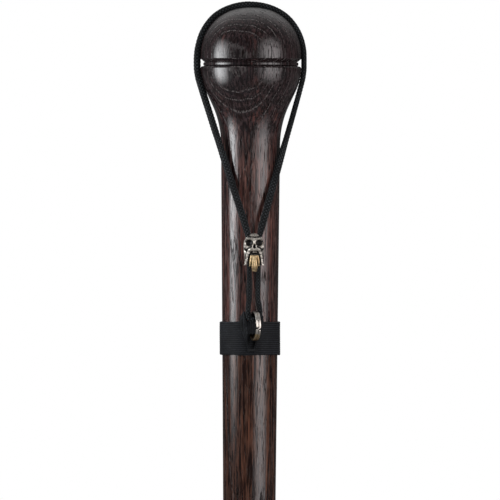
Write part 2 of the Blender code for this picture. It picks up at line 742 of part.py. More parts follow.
def make_skull(silver, bead):
    stations = []
    for height in skull_heights():
        section = []
        for side in range(SKULL_SIDES):
            angle = math.tau * side / SKULL_SIDES - math.pi
            section.append(on_bead(angle, skull_reach(abs(angle), height), height))
        stations.append(section)
    skull = add_object("bead_skull", sweep("bead_skull", stations), silver, bead)
    cut = skull.modifiers.new("bore", "BOOLEAN")
    cut.operation = "DIFFERENCE"
    cut.object = make_bore_cutter(bead)


def jaw_height(across, up):
    tuft = 1.0 - ease(abs(across), *JAW_TUFT_SHARES)
    drop = JAW_SIDE_DROP + (JAW_DROP - JAW_SIDE_DROP) * tuft
    return -drop + (JAW_TOP + drop) * up


def jaw_reach(across, up):
    """How far the jaw's front reaches: it rounds under at its foot and bulges at the chin."""
    chin = JAW_CHIN * math.cos(across * math.pi / 2) * math.sin(up * math.pi)
    undercut = JAW_UNDERCUT * (1.0 - ease(up, 0.0, 0.35))
    return SKULL_HALF_WIDTH - JAW_SET_BACK - JAW_CHIN + chin - undercut


def make_jaw(brass, bead):
    fronts, backs = [], []
    for column in range(JAW_COLUMNS + 1):
        across = -1.0 + 2.0 * column / JAW_COLUMNS
        front, back = [], []
        for row in range(JAW_ROWS + 1):
            height = jaw_height(across, row / JAW_ROWS)
            angle = across * jaw_angle(height)
            front.append(on_bead(angle, jaw_reach(across, row / JAW_ROWS), height))
            back.append(on_bead(angle, JAW_SEAT + GAP, height))
        fronts.append(front)
        backs.append(back)
    add_object("bead_jaw", closed_between("bead_jaw", fronts, backs), brass, bead)


def add_frame(name, parent=None):
    """An empty that carries pieces."""
    frame = bpy.data.objects.new(name, None)
    frame.parent = parent
    bpy.context.scene.collection.objects.link(frame)
    return frame


def make_cane(wood, steel, rubber):
    make_handle(wood)
    make_shaft(wood)
    make_stud(steel)
    make_ferrule(rubber)
    make_washer(steel)


def make_strap(fabric, thread, braid, steel):
    """The strap's frame turns about the cane's axis, and the bead's frame slides in it along the strands."""
    strap = add_frame("strap_frame")
    strap.rotation_euler = (0.0, 0.0, STRAP_TURN)
    make_band(fabric, strap)
    make_ring(steel, strap)
    make_loop(fabric, strap)
    make_tacks(thread, strap)
    make_cord(braid, strap)
    bead = add_frame("bead_frame", strap)
    bead.location = (0.0, -STRAND_FORWARD, SKULL_FOOT)
    return bead


def main():
    clear_scene()
    wood = finish("wood", (0.045, 0.022, 0.017), 0.32, 0.0)
    steel = finish("steel", (0.62, 0.60, 0.56), 0.28, 1.0)
    rubber = finish("rubber", (0.018, 0.018, 0.018), 0.75, 0.0)
    fabric = finish("woven_fabric", (0.017, 0.018, 0.020), 0.85, 0.0)
    braid = finish("braided_cord", (0.015, 0.017, 0.018), 0.8, 0.0)
    thread = finish("thread", (0.012, 0.012, 0.013), 0.7, 0.0)
    make_cane(wood, steel, rubber)
    bead = make_strap(fabric, thread, braid, steel)
    make_skull(finish("silver_tone", (0.62, 0.58, 0.52), 0.35, 1.0), bead)
    make_jaw(finish("brass_tone", (0.72, 0.52, 0.22), 0.32, 1.0), bead)


main()
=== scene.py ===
"""Looks of the walking cane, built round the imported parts. Metres, +Z up, and the strap's front faces -Y."""

import math

import bmesh
import bpy
import numpy as np
from mathutils import Matrix, Vector


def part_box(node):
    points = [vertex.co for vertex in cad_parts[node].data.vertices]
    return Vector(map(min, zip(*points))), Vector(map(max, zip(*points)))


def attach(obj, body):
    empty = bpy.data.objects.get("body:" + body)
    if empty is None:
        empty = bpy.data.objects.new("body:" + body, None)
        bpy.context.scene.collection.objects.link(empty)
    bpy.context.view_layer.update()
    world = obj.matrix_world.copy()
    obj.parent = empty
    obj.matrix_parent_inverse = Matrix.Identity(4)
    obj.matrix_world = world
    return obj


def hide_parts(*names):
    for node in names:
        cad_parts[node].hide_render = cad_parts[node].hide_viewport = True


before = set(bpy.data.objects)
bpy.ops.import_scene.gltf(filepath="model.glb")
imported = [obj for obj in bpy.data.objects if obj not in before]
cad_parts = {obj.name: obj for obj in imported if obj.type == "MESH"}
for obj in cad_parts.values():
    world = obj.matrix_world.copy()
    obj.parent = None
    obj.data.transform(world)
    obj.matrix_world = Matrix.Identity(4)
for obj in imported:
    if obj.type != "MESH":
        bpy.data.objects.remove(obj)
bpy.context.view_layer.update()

MM = 0.001

# Camera and the stretch of the cane that the photograph shows
CAMERA_DISTANCE = 6.0
CAMERA_TARGET = (-0.0001, 0.0, 0.8057)
CAMERA_ROLL = math.radians(0.2)
CAMERA_REACH = 100.0
VIEW_HEIGHT = 0.225
SENSOR_WIDTH = 36.0

# Softboxes, which look level at the cane's axis at a height. Azimuth runs from the camera's side towards
# +X, and fades are the shares over which the light falls off: at the left, the right, the foot and the top
SOFTBOXES = {
    "left_softbox": {
        "azimuth": math.radians(-70.5),
        "distance": 0.32,
        "height": 0.89,
        "size": (0.29, 0.40),
        "power": 3.6,
        "colour": (0.965, 0.980, 1.0),
        "fades": (0.35, 0.58, 0.37, 0.54),
    },
    "right_softbox": {
        "azimuth": math.radians(46.0),
        "distance": 1.1,
        "height": 0.95,
        "size": (1.55, 1.86),
        "power": 34.0,
        "colour": (1.0, 0.955, 0.962),
        "fades": (0.5, 0.4, 0.52, 0.53),
    },
}
# What gloss shows of the studio: a dim room, and a pale sweep above and behind the cane
ROOM_LEVEL = 0.04
SWEEP_LEVEL = 0.85
SWEEP_HEIGHT = math.radians(50.0)
SWEEP_SPREAD_BELOW = math.radians(24.0)
SWEEP_SPREAD_ABOVE = math.radians(48.0)
SWEEP_SIDES = 1.5
SWEEP_EDGE = 0.01
AMBIENT_LEVEL = 0.36
FLOOR_HALF_SIZE = 12.0
FLOOR_DROP = 0.05 * MM

# Cane
CANE_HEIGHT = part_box("knob_handle")[1].z
KNOB_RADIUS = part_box("knob_handle")[1].x
SEAM = (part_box("knob_handle")[0].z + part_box("shaft")[1].z) / 2
SHAFT_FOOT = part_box("shaft")[0].z
GAP = 0.3 * MM
TURNED_SIDES = 160
TURNED_SHARP_ANGLE = 50.0
DOME_ROWS = 64
GROOVE_BEAD_POINTS = 17
FLARE_ROWS = 16
NECK_ROWS = 16
SHAFT_ROWS = 60
# Points that lie closer together are one
MERGE_DISTANCE = 0.0005 * MM
# Where an outline is eased, corners that turn by less stay, and others round off at most this share of a side
EASED_ANGLE = math.radians(12.0)
EASED_SHARE = 0.45
NECK_RADIUS = 13.3 * MM
TIP_RADIUS = 9.0 * MM
TIP_CHAMFER = 1.0 * MM
TAPER_POWER = 2.0
# The dome is a little fuller than a ball, whose fullness is 2
DOME_FULLNESS = 2.19
GROOVE_WIDTH = 4.2 * MM
GROOVE_DEPTH = 1.9 * MM
GROOVE_LIP = 0.60 * MM
GROOVE_CHAMFER = 0.3 * MM
GROOVE_BEAD_DROP = 3.0 * MM
GROOVE_BEAD_RISE = 0.65 * MM
GROOVE_BEAD_HALF_HEIGHT = 0.75 * MM
GROOVE_BEAD_FULLNESS = 5.0
GROOVE_EASE = 0.2 * MM
FLARE_ANGLE = math.radians(25.0)
FLARE_BOWL_SHARE = 0.2585
FLARE_NECK_SHARE = 0.4259
STUD_BORE_RADIUS = 4.0 * MM + GAP
STUD_BORE_DEPTH = 35.0 * MM + GAP
KNOB_CENTRE = CANE_HEIGHT - KNOB_RADIUS
GROOVE_FOOT = KNOB_CENTRE - GROOVE_WIDTH

# Ferrule
FERRULE_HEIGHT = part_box("ferrule")[1].z
FERRULE_FOOT_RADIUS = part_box("ferrule")[1].x
FERRULE_WALL = 2.9 * MM
FERRULE_FLOOR = 8.0 * MM
FERRULE_FOOT_HEIGHT = 5.0 * MM
FERRULE_FOOT_EDGE = 1.25 * MM
FERRULE_SKIRT_TOP = 17.0 * MM
FERRULE_LIP_RADIUS = 1.1 * MM
FERRULE_SOCKET = TIP_RADIUS + GAP
FERRULE_COLLAR = FERRULE_SOCKET + FERRULE_WALL
RIB_COUNT = 3
RIB_RISE = 0.9 * MM
RIB_HEIGHT = 3.2 * MM
RIB_FLAT = 1.0 * MM
RIB_PITCH = 4.0 * MM
TREAD_PAD_RADIUS = 5.0 * MM
TREAD_PITCH = 4.2 * MM
TREAD_GROOVE_WIDTH = 1.6 * MM
TREAD_GROOVE_DEPTH = 1.4 * MM
TREAD_GROOVES = 2
RUBBER_EASE = 0.4 * MM
SKIRT_ROWS = 24
LIP_ROWS = 8

# Strap
STRAP_TURN = math.radians(5.0)
BAND_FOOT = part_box("strap_band")[0].z
BAND_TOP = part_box("strap_band")[1].z
BAND_HEIGHT = BAND_TOP - BAND_FOOT
BAND_WALL = 0.85 * MM
BAND_LEAST_WALL = 0.1 * MM
BAND_EDGE = 0.35 * MM
BAND_COLUMNS = 612
BAND_ROWS = 96
BAND_ROWS_PER_INNER_ROW = 6
# Waves of its edges and of its slack, as depth, number round the band and start. Slack also turns by so many
# radians per metre of height
BAND_WAVES = ((0.10 * MM, 3.0, 0.6), (0.06 * MM, 7.0, 2.0))
BAND_SLACK = ((0.09 * MM, 5.0, 1.0),)
BAND_SLACK_TURN = 260.0
WEB_PITCH = 0.86 * MM
WEB_STITCH = 0.62 * MM
WEB_RELIEF = 0.17 * MM
WEB_FULLNESS = 0.7
WEB_DIP = 0.45
LAP_HALF_ANGLE = math.radians(20.0)
LAP_RISE = 0.75 * MM
LAP_STEP_ANGLE = 0.02
LAP_FADE_ANGLE = 0.3

# Split ring
RING_RADIUS = 6.7 * MM
RING_STRIP_DEPTH = 1.1 * MM
RING_STRIP_WIDTH = 1.05 * MM
RING_TURN_GAP = 0.12 * MM
RING_STRIP_EDGE = 0.22 * MM
RING_JOG = math.radians(5.0)
RING_JOG_AT = math.radians(-12.0)
RING_END_SHRINK = 0.15
RING_END_STEPS = 3.0
RING_SIDEWAYS = 0.4 * MM
RING_RISE = 5.7 * MM
RING_YAW = math.radians(10.0)
RING_STEPS = 560
RING_EDGE_STEPS = 5
RING_SHARP_ANGLE = 60.0
RING_WORN_BELOW = 2.6 * MM

# Wrist cord, a flat braid. It is rounder where it is squeezed in the bead and below it
CORD_HALF_WIDTH = 1.65 * MM
CORD_HALF_THICKNESS = 1.27 * MM
SQUEEZED_HALF_WIDTH = 1.22 * MM
SQUEEZED_HALF_THICKNESS = 1.38 * MM
SQUEEZE_DROPS = (0.0975, 0.1050)
TWIST_DROPS = (0.0580, 0.0780)
# Over the knob it is pulled rounder
ROUNDED_DROPS = (0.0140, 0.0260)
ROUNDED_WIDTH = -0.10 * MM
ROUNDED_THICKNESS = 0.09 * MM
ROUNDED_SUNK = 0.09 * MM
ROUNDED_SIDEWAYS = 0.25 * MM
SEAT_SHARE = 0.45
# Beside the knob the left strand starts to turn its flat side to the front. In millimetres, at these drops
STRAND_DROPS = (0.000, 0.004, 0.014, 0.030, 0.042, 0.056, 0.064)
LEFT_SWELL = (0.10, 0.25, 0.40, 0.40, 0.30, 0.25, 0.00)
LEFT_INWARD = (0.00, 0.00, 0.23, 0.23, 0.05, 0.00, 0.00)
RIGHT_INWARD = (0.00, 0.00, 0.14, 0.14, 0.05, 0.00, 0.00)
CORD_STEP = 0.19 * MM
CORD_SIDES = 48
CORD_END = 0.6 * MM
CORD_END_LEAST = 0.05
# A flat oval, whose sides are fuller than an ellipse's at less than 1
CORD_OVAL = 0.82
BRAID_CELLS = 12
BRAID_PITCH = 0.78 * MM
BRAID_RELIEF = 0.20 * MM
BRAID_ABOVE_FULLNESS = 0.45
BRAID_BELOW_FULLNESS = 0.95
STRAND_SIDEWAYS = 2.0 * MM
ROUTE_SUBSTEPS = 24
PATH_STRIDE = 4

# Fabric loop through the ring
LOOP_THICKNESS = 1.1 * MM
LOOP_TOP_HALF_WIDTH = 5.3 * MM
LOOP_FOOT_HALF_WIDTH = 1.7 * MM
LOOP_TOP_RISE = 5.4 * MM
LOOP_CORNER_RISE = 2.6 * MM
LOOP_FOOT_LIFT = 1.2 * MM
LOOP_CLEARANCE = 0.35 * MM
LOOP_WAIST_MARGIN = 1.0 * MM
LOOP_WAIST_TOP_MARGIN = 2.6 * MM
LOOP_WAIST_COLUMNS = (0.46, 0.70)
LOOP_PULL_COLUMNS = (0.50, 0.95)
LOOP_CORNER_COLUMNS = (0.55, 1.0)
LOOP_PLEAT_COLUMNS = (0.3, 0.6)
LOOP_PLEATS = 3
LOOP_PLEAT_DEPTH = 0.18 * MM
LOOP_COLUMNS = 150
LOOP_ROWS = 130
# How much closer together the columns stand at the sides
LOOP_CROWDING = 0.35
LOOP_WEB_COLUMNS = 12
LOOP_SIDE_FULLNESS = 14
LOOP_END_FULLNESS = 30
LOOP_EDGE_LEAST = 0.05
SURFACE_STEP = 0.004

# Thread
THREAD_RADIUS = 0.17 * MM
THREAD_SIDES = 8
THREAD_LIFT = THREAD_RADIUS * 0.4
THREAD_ARCH = 1.5
THREAD_END_FULLNESS = 5
THREAD_END_LEAST = 0.02
# A direction that no thread takes
OFF_THREADS = (0.31, 0.57, 0.76)
STITCH_STEPS = 6
SIDE_TACK_STEPS = 8
STITCH_PITCH = 0.36 * MM
STITCH_SLANT = 0.35
TACK_WIDTH = 1.3 * MM
TACK_LENGTH = 4.4 * MM
TACK_MARGIN = 0.4 * MM
TACK_STITCHES = int(TACK_LENGTH / STITCH_PITCH)
# Seam of the band's lapped ends: where its two rows lie as shares of the lap, and their stitches
SEAM_SIDES = (-0.62, 0.28)
SEAM_STITCHES = 13
SEAM_STITCH_SHARE = 0.86
SEAM_MARGIN = 1.2 * MM
SEAM_ARCH = 0.16 * MM
SEAM_SUNK = 0.12 * MM

# Bead
SKULL_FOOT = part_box("bead_skull")[0].z
SKULL_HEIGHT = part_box("bead_skull")[1].z - SKULL_FOOT
BORE_HALF_WIDTH = STRAND_SIDEWAYS + 1.65 * MM
BORE_HALF_DEPTH = 1.65 * MM
BORE_MOUTH_FLARE = 1.2 * MM
BORE_MOUTH_DEPTH = 6.0 * MM
BORE_LEAST_WALL = 0.02 * MM
SKULL_HALF_WIDTH = BORE_HALF_WIDTH + 1.35 * MM
SKULL_NARROWING = 0.085
SKULL_FOOT_WALL = 0.6 * MM
SKULL_COLUMNS = 288
SKULL_ROWS = 190
SKULL_LEVELS = 600
BORE_ROWS = 24
BROW_SHARE = 0.60
CROWN_FULLNESS = 2.2
CAST_SHARP_ANGLE = 55.0
SKULL_CROWDING = 0.25
FACE_TURN = 0.02
FACE_ANGLES = (1.1, 1.6)
MOUSTACHE_HALF_WIDTH = 0.75 * MM
MOUSTACHE_STRAND = 0.46 * MM
MOUSTACHE_KNOT = 1.25 * MM
MOUSTACHE_PLAIT_START = 3.4 * MM
# Carving of the face: depths and rises as shares of the skull's half width, and how much the strands slant
STRAND_DEPTH = 0.030
KNOT_DEPTH = 0.075
MOUTH_DEPTH = 0.10
TOOTH_RISE = 0.42
STRAND_SLANT = 0.20
KNOT_SLANT = 0.5
# Middle and half width of the mouth's slit, in height and in angle, and where the teeth stand in it
MOUTH_SHARE = 0.378
MOUTH_HALF_SHARE = 0.045
MOUTH_HALF_ANGLE = 0.36
TEETH = 7
TEETH_ANGLE = 0.27
TEETH_SHARES = (0.388, 0.420)
TEETH_EDGE = 0.004
TEETH_FADE = 0.85
# The sagittal suture runs back over the crown, and the coronal one winds across it
SAGITTAL_DEPTH = 0.030
SAGITTAL_WAVES = ((0.09, 62.0, 0.0), (0.04, 147.0, 0.0))
SAGITTAL_HALF_ANGLE = 0.035
SAGITTAL_SHARES = (0.84, 0.88)
CORONAL_DEPTH = 0.032
CORONAL_SHARE = 0.835
CORONAL_WAVES = ((0.014, 19.0, 0.0), (0.008, 43.0, 1.0))
CORONAL_HALF_SHARE = 0.0065
CORONAL_ANGLES = (1.0, 1.4)
# Patina lies in the hollows and on the crown. Along both sides of the moustache, shade is painted by position,
# where no hollow is carved
HOLLOW_DEPTH = 0.18 * MM
HOLLOW_LEAST = 0.12
HOLLOW_ROUNDS = 60
HOLLOW_OF_RELIEF = 3.4
CROWN_PATINA = 0.10
CROWN_PATINA_SHARES = (0.80, 0.90)
MOUSTACHE_PAINTED_SHADE = 0.85
PAINTED_SHADE_OFFSET = 1.22 * MM
PAINTED_SHADE_HALF_WIDTH = 0.44 * MM
PAINTED_SHADE_ANGLES = (0.12, 0.30)

# Bead's jaw, which is all beard
JAW_TOP_ANGLE = math.radians(26.5)
JAW_FOOT_ANGLE = math.radians(38.0)
JAW_DROP = 2.9 * MM
JAW_SIDE_DROP = 0.5 * MM
JAW_TUFT_SHARES = (0.36, 0.62)
JAW_TOP = 4.4 * MM
JAW_SEAT = BORE_HALF_DEPTH + 1.85 * MM
JAW_SEAT_MARGIN = 0.15
JAW_SET_BACK = 0.25 * MM
JAW_CHIN = 0.35 * MM
JAW_UNDERCUT = 0.4 * MM
JAW_UNDERCUT_SHARE = 0.35
JAW_SIDE_FULLNESS = 24
JAW_SIDE_LEAST = 0.25
JAW_LEAST_WALL = 0.15 * MM
JAW_LIP = 0.12 * MM
JAW_LIP_SHARE = 0.93
JAW_LIP_HALF_SHARE = 0.05
JAW_LIP_COLUMNS = (0.6, 0.9)
BEARD_COLUMNS = 180
BEARD_ROWS = 110
BEARD_RAGGED = ((0.22 * MM, 13.0, 0.7),)
BEARD_STRANDS = 31.0
BEARD_CURL = 1.1
BEARD_CURL_UP = 6.0
BEARD_CURL_ACROSS = 5.0
BEARD_TOP_SHARE = 0.45
BEARD_RIDGE = 0.12 * MM
BEARD_FURROW = 0.40 * MM
BEARD_PARTING = 0.80 * MM
BEARD_PARTING_HALF_WIDTH = 0.075
BEARD_PARTING_SHARES = (0.60, 0.95)

# Route of the cord's right half, as (sideways, forward, drop below the knob's top), as the CAD cord runs
CORD_OVER_KNOB = [
    (0.0000, -0.0055, -0.0013),
    (0.0084, -0.0052, 0.0001),
    (0.0159, -0.0046, 0.0043),
    (0.0213, -0.0038, 0.0111),
    (0.0239, -0.0029, 0.0187),
    (0.0243, -0.0019, 0.0262),
    (0.0239, -0.0010, 0.0307),
    (0.0229, 0.0002, 0.0348),
    (0.0187, 0.0042, 0.0487),
    (0.0135, 0.0082, 0.0657),
    (0.0083, 0.0130, 0.0832),
]
# The rest of it, with forward measured from the bead's bore
CORD_TO_RING = [
    (0.0047, -0.0012, 0.0952),
    (0.0030, -0.0002, 0.1013),
    (0.0021, 0.0000, 0.1070),
    (STRAND_SIDEWAYS, 0.0000, 0.1150),
    (STRAND_SIDEWAYS, 0.0000, 0.1240),
]
# The bight through the ring, as (sideways, forward, up) from the ring's centre
HITCH_ROUTE = [
    (-0.0024, -0.0025, 0.0125),
    (-0.0027, -0.0021, 0.0099),
    (-0.0030, -0.0015, 0.0073),
    (-0.0030, -0.0014, 0.0053),
    (-0.0022, -0.0015, 0.0034),
    (-0.0003, -0.0018, 0.0026),
    (0.0016, -0.0022, 0.0034),
    (0.0024, -0.0023, 0.0053),
    (0.0024, -0.0023, 0.0073),
    (0.0020, -0.0024, 0.0099),
    (0.0016, -0.0025, 0.0125),
]
HITCH_BOTTOM = 5

# Skull's forms: angle off the front, height, half angle, half height, rise and how steep the rim is.
# Heights are shares of the skull's height, and rises are shares of its half width
SKULL_FORMS = [
    (0.60, 0.685, 0.42, 0.092, -0.46, 4.0),
    (0.00, 0.585, 0.14, 0.055, -0.28, 2.5),
    (0.52, 0.812, 0.56, 0.032, 0.19, 2.0),
    (0.98, 0.565, 0.20, 0.048, 0.15, 2.0),
    (1.28, 0.690, 0.30, 0.100, -0.07, 2.0),
    (1.00, 0.450, 0.22, 0.055, -0.26, 2.0),
    (0.20, 0.490, 0.22, 0.034, 0.15, 2.0),
    (0.46, 0.455, 0.19, 0.040, 0.16, 2.0),
    (0.68, 0.365, 0.15, 0.055, 0.14, 2.0),
    (0.84, 0.260, 0.13, 0.070, 0.15, 2.0),
    (0.99, 0.135, 0.13, 0.070, 0.17, 2.0),
    (1.11, 0.010, 0.14, 0.080, 0.24, 2.0),
    (0.00, 0.388, 0.40, 0.044, -0.24, 3.0),
]
# Which of them are the moustache's, from its root down to its tip
MOUSTACHE = slice(6, 12)

# Where the trunk's pith lies beside each board, in millimetres, and how far apart its growth rings are
PITH = (18.0, 64.0, 0.0)
GROWTH_RING = 2.3
# Waves of the growth rings: how long in x, y and z, with what detail, and how far they shift a ring
RING_WAVES = (
    ((46.0, 46.0, 210.0), 1.0, 11.0),
    ((15.0, 15.0, 60.0), 1.0, 3.2),
    ((4.0, 4.0, 22.0), 2.0, 0.9),
)
# A small knot on the left of the neck's front, round which the grain opens, in millimetres
KNOT = (-8.6, -10.4, (CANE_HEIGHT - 109.0 * MM) / MM)
KNOT_REACH = (2.4, 6.0, 6.5)
KNOT_BEND = -1.6
# Heights in millimetres over which the stain thins and the wood turns redder, from above
THIN_STAIN_HEIGHTS = (838.0, 866.0)
REDDER_HEIGHTS = (790.0, 880.0)
# Where each board is cut from the trunk, in millimetres, and the colours of its dark and light fibres, of its
# streaks, and of the wood in front, where the stain is thin below the flare
WOODS = {
    "handle_wood": (
        (0.0, 0.0, 0.0),
        (0.0055, 0.0032, 0.0040),
        (0.0440, 0.0270, 0.0285),
        (0.1000, 0.0360, 0.0290),
        (0.1900, 0.0880, 0.0700),
    ),
    "shaft_wood": (
        (240.0, 90.0, 500.0),
        (0.0065, 0.0020, 0.0013),
        (0.0620, 0.0285, 0.0220),
        (0.1050, 0.0420, 0.0250),
        (0.0820, 0.0400, 0.0260),
    ),
}
LATE_WOOD = (0.0060, 0.0042, 0.0050)
EARLY_WOOD = (0.0060, 0.0032, 0.0034)
DARK_VEIN = (0.0075, 0.0020, 0.0018)
DARK_CLOUD = (0.0090, 0.0080, 0.0095)
PALE_DASH = (0.1650, 0.1500, 0.1480)
OPEN_PORE = (0.0032, 0.0010, 0.0009)

# Yarns: colours down in the weave and on its crowns, which are lighter as painted light and a little wear, how
# much fuzz, and how long the fibres are
YARNS = {
    "braided_cord": ((0.0022, 0.0027, 0.0031), (0.0700, 0.0810, 0.0890), 0.05, (0.10, 0.10, 0.45)),
    "webbing": ((0.0022, 0.0025, 0.0030), (0.0580, 0.0640, 0.0780), 0.03, (0.35, 0.35, 0.08)),
    "thread": ((0.0060, 0.0062, 0.0068), (0.0260, 0.0270, 0.0290), 0.05, 0.12),
}
YARN_SHEEN = (0.62, 0.68, 0.72)

# Cast metals: colours where they are rubbed, dull and covered by patina, and how rough they are where rubbed
CASTINGS = {
    "silver_tone": ((0.86, 0.82, 0.75), (0.28, 0.24, 0.19), (0.006, 0.005, 0.005), 0.33),
    "brass_tone": ((0.88, 0.69, 0.41), (0.42, 0.26, 0.11), (0.016, 0.009, 0.004), 0.28),
}
NICKEL = (0.66, 0.62, 0.57)
WORN_NICKEL = (0.72, 0.54, 0.30)
# Nickel darkened as painted shade, on the ring's inner faces and its back half
NICKEL_IN_PAINTED_SHADE = (0.040, 0.030, 0.021)
STAINED_NICKEL = (0.10, 0.065, 0.035)
STEEL = (0.56, 0.55, 0.53)
STAINED_STEEL = (0.42, 0.40, 0.37)
RUBBER = (0.0155, 0.0155, 0.0160)
RUBBER_BLOOM = (0.0270, 0.0265, 0.0260)
DUST = (0.11, 0.10, 0.088)
FLOOR = (0.80, 0.80, 0.79)
FLOOR_IN_GLOSS = (0.26, 0.26, 0.26)
FLOOR_GLOW = 0.55


def ease(value, low, high):
    """0 below low, 1 above high, and a smooth step between. Works on arrays too."""
    share = np.clip((value - low) / (high - low), 0.0, 1.0)
    return share * share * (3.0 - 2.0 * share)


def between(first, second, share):
    """The first at share 0, the second at share 1."""
    return first + (second - first) * share


def bell(value, middle, half_width, power=2):
    """1 at the middle, and small beyond the half width. A higher power makes the shoulders squarer."""
    return np.exp(-(np.abs((value - middle) / half_width) ** power))


def ripple(phase):
    """0 at every full turn of the phase, and 1 halfway between."""
    return 0.5 - 0.5 * np.cos(phase)


def rim(share, fullness, least=0.0):
    """1 where the share is 0, and a rounded fall to least where it is 1 or -1, the later the fuller it is."""
    return np.sqrt(np.clip(1.0 - np.abs(share) ** fullness, least, 1.0))


def waves(value, table):
    """The sum of sine waves, each as its depth, its radians per unit of the value and its start."""
    return sum(depth * np.sin(value * rate + start) for depth, rate, start in table)


def unit(vectors):
    """The vectors, each 1 long."""
    return vectors / np.linalg.norm(vectors, axis=-1, keepdims=True)


def distances(points):
    """How far each point of a line lies from its start. An array of lines works too."""
    steps = np.linalg.norm(np.diff(points, axis=-2), axis=-1)
    return np.concatenate([np.zeros((*steps.shape[:-1], 1)), np.cumsum(steps, -1)], -1)


class Value:
    """A node's output, for sums and products with numbers and other values."""

    def __init__(self, nodes, socket):
        self.nodes = nodes
        self.socket = socket

    def __add__(self, other):
        return self.nodes.math("ADD", self, other)

    def __sub__(self, other):
        return self.nodes.math("SUBTRACT", self, other)

    def __mul__(self, other):
        return self.nodes.math("MULTIPLY", self, other)

    def __truediv__(self, other):
        return self.nodes.math("DIVIDE", self, other)


class Nodes:
    """A node tree, built by short calls. Numbers and values can both be inputs."""

    def __init__(self, tree):
        self.tree = tree

    def feed(self, socket, value):
        """Links a value to a socket, or sets a number, a vector or a colour on it."""
        if isinstance(value, Value):
            self.tree.links.new(value.socket, socket)
        elif isinstance(value, tuple) and socket.type == "RGBA":
            socket.default_value = (*value, 1.0)
        else:
            socket.default_value = value

    def add(self, kind, output, *inputs, **settings):
        """An output of a new node, whose inputs are fed in their order."""
        node = self.tree.nodes.new(kind)
        for name, value in settings.items():
            setattr(node, name, value)
        for socket, value in zip([socket for socket in node.inputs if socket.enabled], inputs):
            self.feed(socket, value)
        return Value(self, node.outputs[output])

    def math(self, operation, *values, clamp=False):
        """The result of a mathematical operation on numbers or values."""
        return self.add("ShaderNodeMath", 0, *values, operation=operation, use_clamp=clamp)

    def vector(self, operation, *values):
        """The result of an operation on vectors."""
        output = "Value" if operation in ("LENGTH", "DOT_PRODUCT") else "Vector"
        return self.add("ShaderNodeVectorMath", output, *values, operation=operation)

    def place(self):
        """The point in the piece's own coordinates, in millimetres."""
        return self.vector("MULTIPLY", self.add("ShaderNodeTexCoord", "Object"), (1.0 / MM,) * 3)

    def ray(self, kind):
        """1 for rays of this kind, and 0 for others."""
        return self.add("ShaderNodeLightPath", f"Is {kind} Ray")

    def split(self, vector):
        """The vector's x, y and z."""
        whole = self.add("ShaderNodeSeparateXYZ", 0, vector)
        return [Value(self, output) for output in whole.socket.node.outputs]

    def join(self, x, y, z):
        """A vector of these three."""
        return self.add("ShaderNodeCombineXYZ", 0, x, y, z)

    def noise(self, vector, size, detail=2.0, roughness=0.5):
        """Noise from 0 to 1 whose features are about size long: one number, or one each for x, y and z."""
        size = size if isinstance(size, tuple) else (size,) * 3
        made = self.add("ShaderNodeTexNoise", "Fac")
        inputs = made.socket.node.inputs
        self.feed(inputs["Vector"], self.vector("DIVIDE", vector, size))
        self.feed(inputs["Scale"], 1.0)
        self.feed(inputs["Detail"], detail)
        self.feed(inputs["Roughness"], roughness)
        return made

    def attribute(self, name):
        """A value that the mesh has at each of its points."""
        return self.add("ShaderNodeAttribute", "Fac", attribute_name=name)

    def step(self, value, low, high, start=0.0, end=1.0):
        """start below low, end above high, and a smooth step between."""
        inputs = (value, low, high, start, end)
        return self.add("ShaderNodeMapRange", 0, *inputs, interpolation_type="SMOOTHSTEP")

    def band(self, value, start, full, still, end):
        """0 outside start and end, 1 from full to still, and smooth steps between."""
        return self.step(value, start, full) * self.step(value, still, end, 1.0, 0.0)

    def mix(self, share, first, second):
        """Colours, or values of them, mixed."""
        return self.add("ShaderNodeMix", "Result", share, first, second, data_type="RGBA")

    def bump(self, height, depth):
        """The normal of a surface whose relief is this height times this depth."""
        made = self.add("ShaderNodeBump", 0)
        inputs = made.socket.node.inputs
        self.feed(inputs["Strength"], 1.0)
        self.feed(inputs["Distance"], depth)
        self.feed(inputs["Height"], height)
        return made


class Shader(Nodes):
    """A material's nodes, with the inputs of its surface."""

    def __init__(self, name):
        self.material = bpy.data.materials.new(name)
        self.material.use_nodes = True
        super().__init__(self.material.node_tree)

    def set(self, **values):
        """Sets the surface's inputs, whose names are written with _ for a space."""
        for name, value in values.items():
            self.feed(self.tree.nodes["Principled BSDF"].inputs[name.replace("_", " ")], value)
        return self.material


